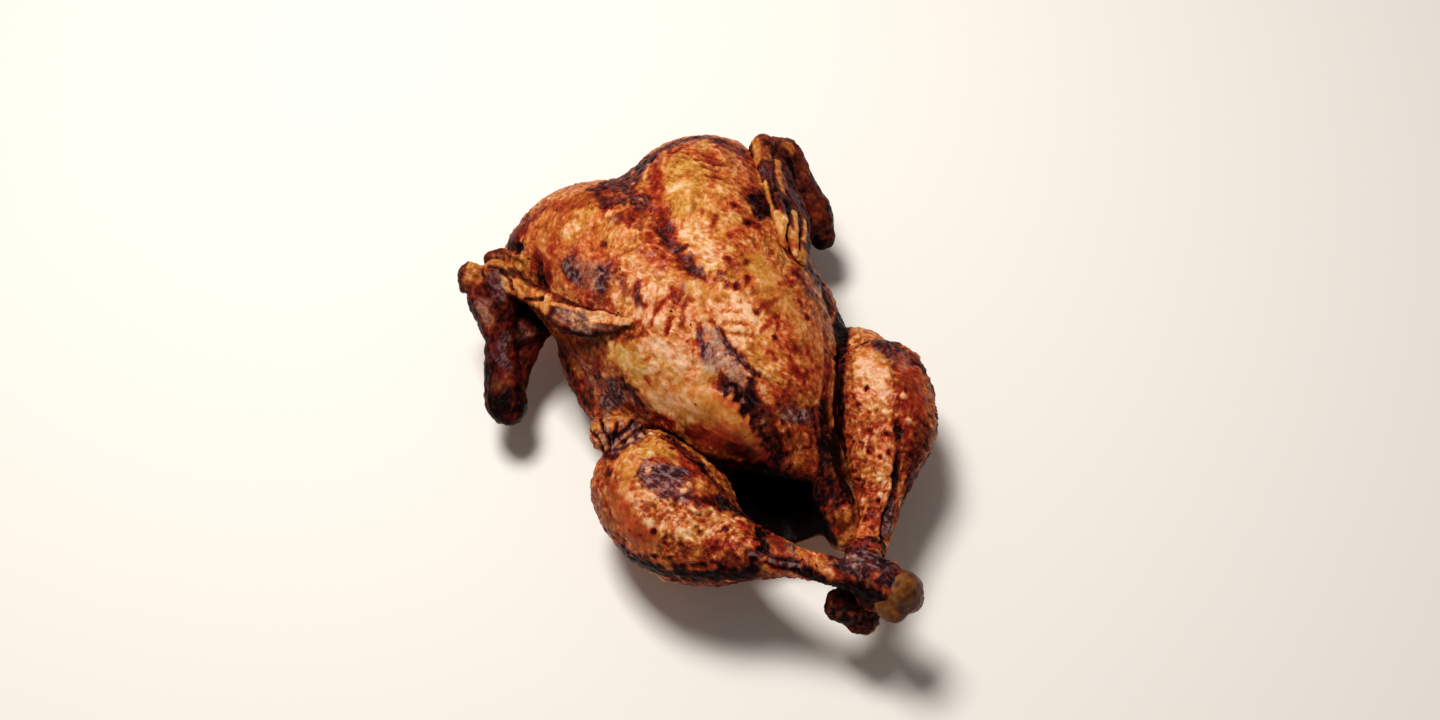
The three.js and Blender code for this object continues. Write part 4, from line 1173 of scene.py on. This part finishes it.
def browningGroup():
    # the colour of roasted skin and how burnt it is, with painted highlights on the tops of its wrinkles and
    # its smoke tone with painted glints
    inputs = {"Browning": 0.4, "Redness": 0.0, "Smoke": 0.0, **{label: 0.0 for label in textureMasks}}
    group, given, out = newGroup("brownedColour", "ShaderNodeTree", inputs,
                                 {"Color": "Color", "Dark": "Float", "Smoke": "Float"})
    work = partial(calc, group)
    tint = {name: linear(*tone) for name, tone in tints.items()}

    def gathered(value, shares):
        # the value with its share of each mask, kept from 0 to 1
        for mask, share in shares.items():
            value = work("MULTIPLY_ADD", given[mask], share, value, clamp=mask == "Crease")
        return value

    def over(colour, share, above):
        return mixed(group, share, colour, above)

    tone = gathered(given["Browning"],
                    {"Blotch": 0.75, "Crumple": 0.8, "Fold": -0.65, "Top": -0.16, "Crease": 0.16})
    red = gathered(work("MULTIPLY_ADD", given["Redness"], 0.5, 0.45), {"Hue": 1.8, "Crease": 0.35})
    colour = mixed(group, red, *(colourRamp(group, tone, [(stop[0], stop[side]) for stop in browningStops])
                                 for side in (1, 2)))
    # painted highlights: wrinkle tops on light skin turn cream, those on browner skin tan
    highlightShare = work("MULTIPLY_ADD", stepUp(group, tone, 0.1, 0.6), -0.45, 0.45)
    highlightShare = work("MULTIPLY", highlightShare, work("MULTIPLY_ADD", red, -0.5, 1.0))
    cream = mixed(group, stepUp(group, tone, 0.05, 0.4), tint["cream"], tint["tan"])
    colour = over(colour, work("MULTIPLY", given["Top"], highlightShare), cream)
    # the smoke tone, violet-grey on light skin and dark on burnt skin, which marks also use as painted glints
    # and sheen; on wrinkle tops it becomes a painted glint
    smokeSheenShare = work("MULTIPLY", work("MULTIPLY_ADD", given["Crumple"], 1.8, 1.0), given["Smoke"])
    smokeSheenShare = stepUp(group, smokeSheenShare, 0.15, 0.8)
    smokeSheenTone = mixed(group, stepUp(group, tone, 0.25, 0.65), tint["paleSmokeSheen"], tint["darkSmoke"])
    colour = over(colour, work("MULTIPLY", smokeSheenShare, 0.6), smokeSheenTone)
    colour = over(colour, work("MULTIPLY", work("MULTIPLY", smokeSheenShare, given["Top"]), 0.55), tint["smokeGlint"])
    colour = over(colour, work("MULTIPLY", given["Pepper"], 0.5), tint["pepper"])
    for label, value in (("Color", colour), ("Dark", stepUp(group, tone, 0.5, 0.8)), ("Smoke", smokeSheenShare)):
        group.links.new(value, out[label])
    return group


def newMaterial(name):
    material = bpy.data.materials.new(name)
    material.use_nodes = True
    tree = material.node_tree
    return material, tree, tree.nodes["Principled BSDF"], add(tree, "ShaderNodeTexCoord").outputs["Object"]


def bumped(tree, height, depth):
    inputs = {"Height": height, "Strength": 1.0, "Distance": depth * mm}
    return add(tree, "ShaderNodeBump", inputs).outputs["Normal"]


crackledSkin, brownedColour = skinTextureGroup(), browningGroup()


def skinMaterial(name, cellSize, depth, wet):
    material, tree, shader, place = newMaterial(name)
    channel = {name: add(tree, "ShaderNodeAttribute", attribute_name=name).outputs["Fac"]
               for name in channels}
    inputs = {"Vector": place, "Crackle": channel["crackle"], "Cell Size": cellSize}
    texture = add(tree, "ShaderNodeGroup", inputs, node_tree=crackledSkin).outputs
    inputs = {label: channel[label.lower()] for label in ("Browning", "Redness", "Smoke")}
    inputs.update({label: texture[label] for label in textureMasks})
    colour = add(tree, "ShaderNodeGroup", inputs, node_tree=brownedColour).outputs
    rough = calc(tree, "MULTIPLY_ADD", colour["Smoke"], 0.1, 0.36)
    gloss = calc(tree, "MULTIPLY_ADD", colour["Dark"], -0.96, 1.0)
    fill(tree, shader, {
        "Base Color": colour["Color"],
        "Roughness": calc(tree, "MULTIPLY_ADD", channel["juice"], -0.12, rough),
        "Coat Weight": calc(tree, "MULTIPLY", calc(tree, "MULTIPLY", channel["juice"], wet), gloss),
        "Coat Roughness": 0.18,
        "Coat IOR": 1.4,
        "IOR": 1.45,
        "Specular IOR Level": 0.02,
        "Normal": bumped(tree, texture["Height"], depth),
    })
    return material


def cloudedMaterial(name, scale, detail, roughness, stops, shine, depth=0):
    # colours that follow one cloudy noise
    material, tree, shader, place = newMaterial(name)
    clouds = noise(tree, scaledVector(tree, place, 1 / mm), scale, detail, roughness)[0]
    inputs = {"Base Color": colourRamp(tree, clouds, stops), "Roughness": shine, "Specular IOR Level": 0.1}
    if depth:
        inputs["Normal"] = bumped(tree, clouds, depth)
    fill(tree, shader, inputs)
    return material


breastSkin = skinMaterial("breastSkin", cellSize=3.2, depth=0.32, wet=0.32)
legSkin = skinMaterial("legSkin", cellSize=3.0, depth=0.4, wet=0.42)
wingSkin = skinMaterial("wingSkin", cellSize=2.6, depth=0.45, wet=0.5)
gristleStops = [(0.3, (44, 18, 8)), (0.5, (96, 50, 20)), (0.72, (146, 88, 36))]
gristle = cloudedMaterial("gristle", 0.16, 3.0, 0.55, gristleStops, shine=0.42, depth=0.8)

# blister size and height, fold height, and lump size and height of each piece's relief
reliefNames = ("Blister Size", "Blister Height", "Fold Height", "Lump Size", "Lump Height")
reliefs = [
    (carcassBody, breastSkin, (5.0, 0.4, 2.0, 16.0, 1.0)),
    (leftDrumstick, legSkin, (4.0, 0.4, 1.8, 11.0, 1.0)),
    (rightDrumstick, legSkin, (4.0, 0.4, 1.8, 11.0, 1.0)),
    (leftWing, wingSkin, (3.5, 0.3, 1.6, 8.0, 1.4)),
    (rightWing, wingSkin, (3.5, 0.3, 1.6, 8.0, 1.4)),
    (ankleEnd, gristle, (5.0, 0.1, 0.8, 9.0, 1.6)),
]
skinRelief = reliefTree()
for piece, material, sizes in reliefs:
    applied(piece, skinRelief, {"Skin": material, **dict(zip(reliefNames, sizes))})
print("skin relief")


# the burnt crumbs, in metres
crumbs = {
    "Crumbs Per Square Metre": 20000.0,
    "Least Distance": 0.002,
    "Smallest": 0.0003,
    "Largest": 0.0008,
    "Flatness": (1.0, 0.75, 0.4),
    "Seed": 4,
}
crumbStops = [(0.4, (26, 12, 8)), (0.75, (92, 44, 24))]


def crumbTree():
    # burnt crumbs strewn over the skin, more of them where it is browner, each one flat against it
    skinLabels = ("First Skin", "Second Skin", "Third Skin")
    group, given, out = newGroup("strewnCrumbs", "GeometryNodeTree", {
        "Geometry": "Geometry",
        **{label: "Object" for label in skinLabels},
        **crumbs,
        "Crumb": "Material",
    }, {"Geometry": "Geometry"})
    skins = add(group, "GeometryNodeJoinGeometry")
    for label in skinLabels:
        info = add(group, "GeometryNodeObjectInfo", {"Object": given[label]})
        group.links.new(info.outputs["Geometry"], skins.inputs[0])
    normal = add(group, "GeometryNodeInputNormal").outputs[0]
    upward = add(group, "ShaderNodeSeparateXYZ", {0: normal}).outputs["Z"]
    brown = stepUp(group, attribute(group, "browning"), 0.1, 0.8)
    chance = calc(group, "MULTIPLY", stepUp(group, upward, -0.1, 0.5), brown)
    chance = calc(group, "MULTIPLY", chance, stepUp(group, noise(group, None, 60.0, 1.0)[0], 0.42, 0.6))
    inputs = {"Mesh": skins.outputs[0], "Distance Min": given["Least Distance"], "Density Factor": chance,
              "Density Max": given["Crumbs Per Square Metre"], "Seed": given["Seed"]}
    strewn = add(group, "GeometryNodeDistributePointsOnFaces", inputs, distribute_method="POISSON").outputs
    ball = add(group, "GeometryNodeMeshIcoSphere", {"Radius": 1.0, "Subdivisions": 2}).outputs["Mesh"]
    shift = vectorCalc(group, "SUBTRACT", noise(group, None, 1.3)["Color"], (0.5, 0.5, 0.5))
    inputs = {"Geometry": ball, "Offset": scaledVector(group, shift, 1.4)}
    crumb = add(group, "GeometryNodeSetPosition", inputs).outputs[0]
    inputs = {2: given["Smallest"], 3: given["Largest"], "Seed": given["Seed"]}
    size = add(group, "FunctionNodeRandomValue", inputs, data_type="FLOAT").outputs[1]
    inputs = {"Points": strewn["Points"], "Instance": crumb, "Rotation": strewn["Rotation"],
              "Scale": scaledVector(group, given["Flatness"], size)}
    placed = add(group, "GeometryNodeInstanceOnPoints", inputs).outputs[0]
    coatedOutput(group, placed, given["Crumb"], out)
    return group


burntCrumbs = bpy.data.objects.new("burntCrumbs", bpy.data.meshes.new("burntCrumbs"))
scene.collection.objects.link(burntCrumbs)
applied(burntCrumbs, crumbTree(), {
    "First Skin": carcassBody,
    "Second Skin": leftDrumstick,
    "Third Skin": rightDrumstick,
    **crumbs,
    "Crumb": cloudedMaterial("burntCrumb", 0.5, 1.0, 0.5, crumbStops, shine=0.5),
})
print("crumbs", len(burntCrumbs.data.polygons))

pieces = {carcassBody: "roast_skin", leftDrumstick: "roast_skin", rightDrumstick: "roast_skin",
          leftWing: "roast_skin", rightWing: "roast_skin", ankleEnd: "bare_bone", burntCrumbs: "charred_bits"}

# nothing lies lower than the table
for piece in pieces:
    points = cornerValues(piece, "co") / mm
    points[:, 2] = np.maximum(points[:, 2], 0)
    setCorners(piece, points)

studio = {
    "floorReach": 6,
    "floorColour": (250, 243, 232),
    "floorRoughness": 0.8,
    "lightAt": (-0.1, 0.4, 1.2),
    "lightAim": (0, 0, 0.04),
    "lightSize": (0.35, 0.35),
    "lightPower": 15.5,
    "airColour": (1, 0.98, 0.95, 1),
    "airStrength": 0.16,
}

reach = studio["floorReach"]
floorMesh = bpy.data.meshes.new("floor")
floorMesh.from_pydata([(-reach, -reach, 0), (reach, -reach, 0), (reach, reach, 0), (-reach, reach, 0)], [],
                      [(0, 1, 2, 3)])
floor = bpy.data.objects.new("floor", floorMesh)
scene.collection.objects.link(floor)
floorPaint = bpy.data.materials.new("floorPaint")
floorPaint.use_nodes = True
fill(floorPaint.node_tree, floorPaint.node_tree.nodes["Principled BSDF"],
     {"Base Color": linear(*studio["floorColour"]), "Roughness": studio["floorRoughness"]})
floorMesh.materials.append(floorPaint)

lightData = bpy.data.lights.new("overhead", "AREA")
lightData.shape = "RECTANGLE"
lightData.size, lightData.size_y = studio["lightSize"]
lightData.energy = studio["lightPower"]
overhead = bpy.data.objects.new("overhead", lightData)
scene.collection.objects.link(overhead)
overhead.location = studio["lightAt"]
lightWay = Vector(studio["lightAt"]) - Vector(studio["lightAim"])
overhead.rotation_euler = lightWay.to_track_quat("Z", "Y").to_euler()

world = bpy.data.worlds.new("studio")
scene.world = world
world.use_nodes = True
fill(world.node_tree, world.node_tree.nodes["Background"],
     {"Color": studio["airColour"], "Strength": studio["airStrength"]})
scene.view_settings.view_transform = "Standard"

for piece, slot in pieces.items():
    for face in piece.data.polygons:
        face.use_smooth = True
    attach(piece, "root")
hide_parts("chicken")
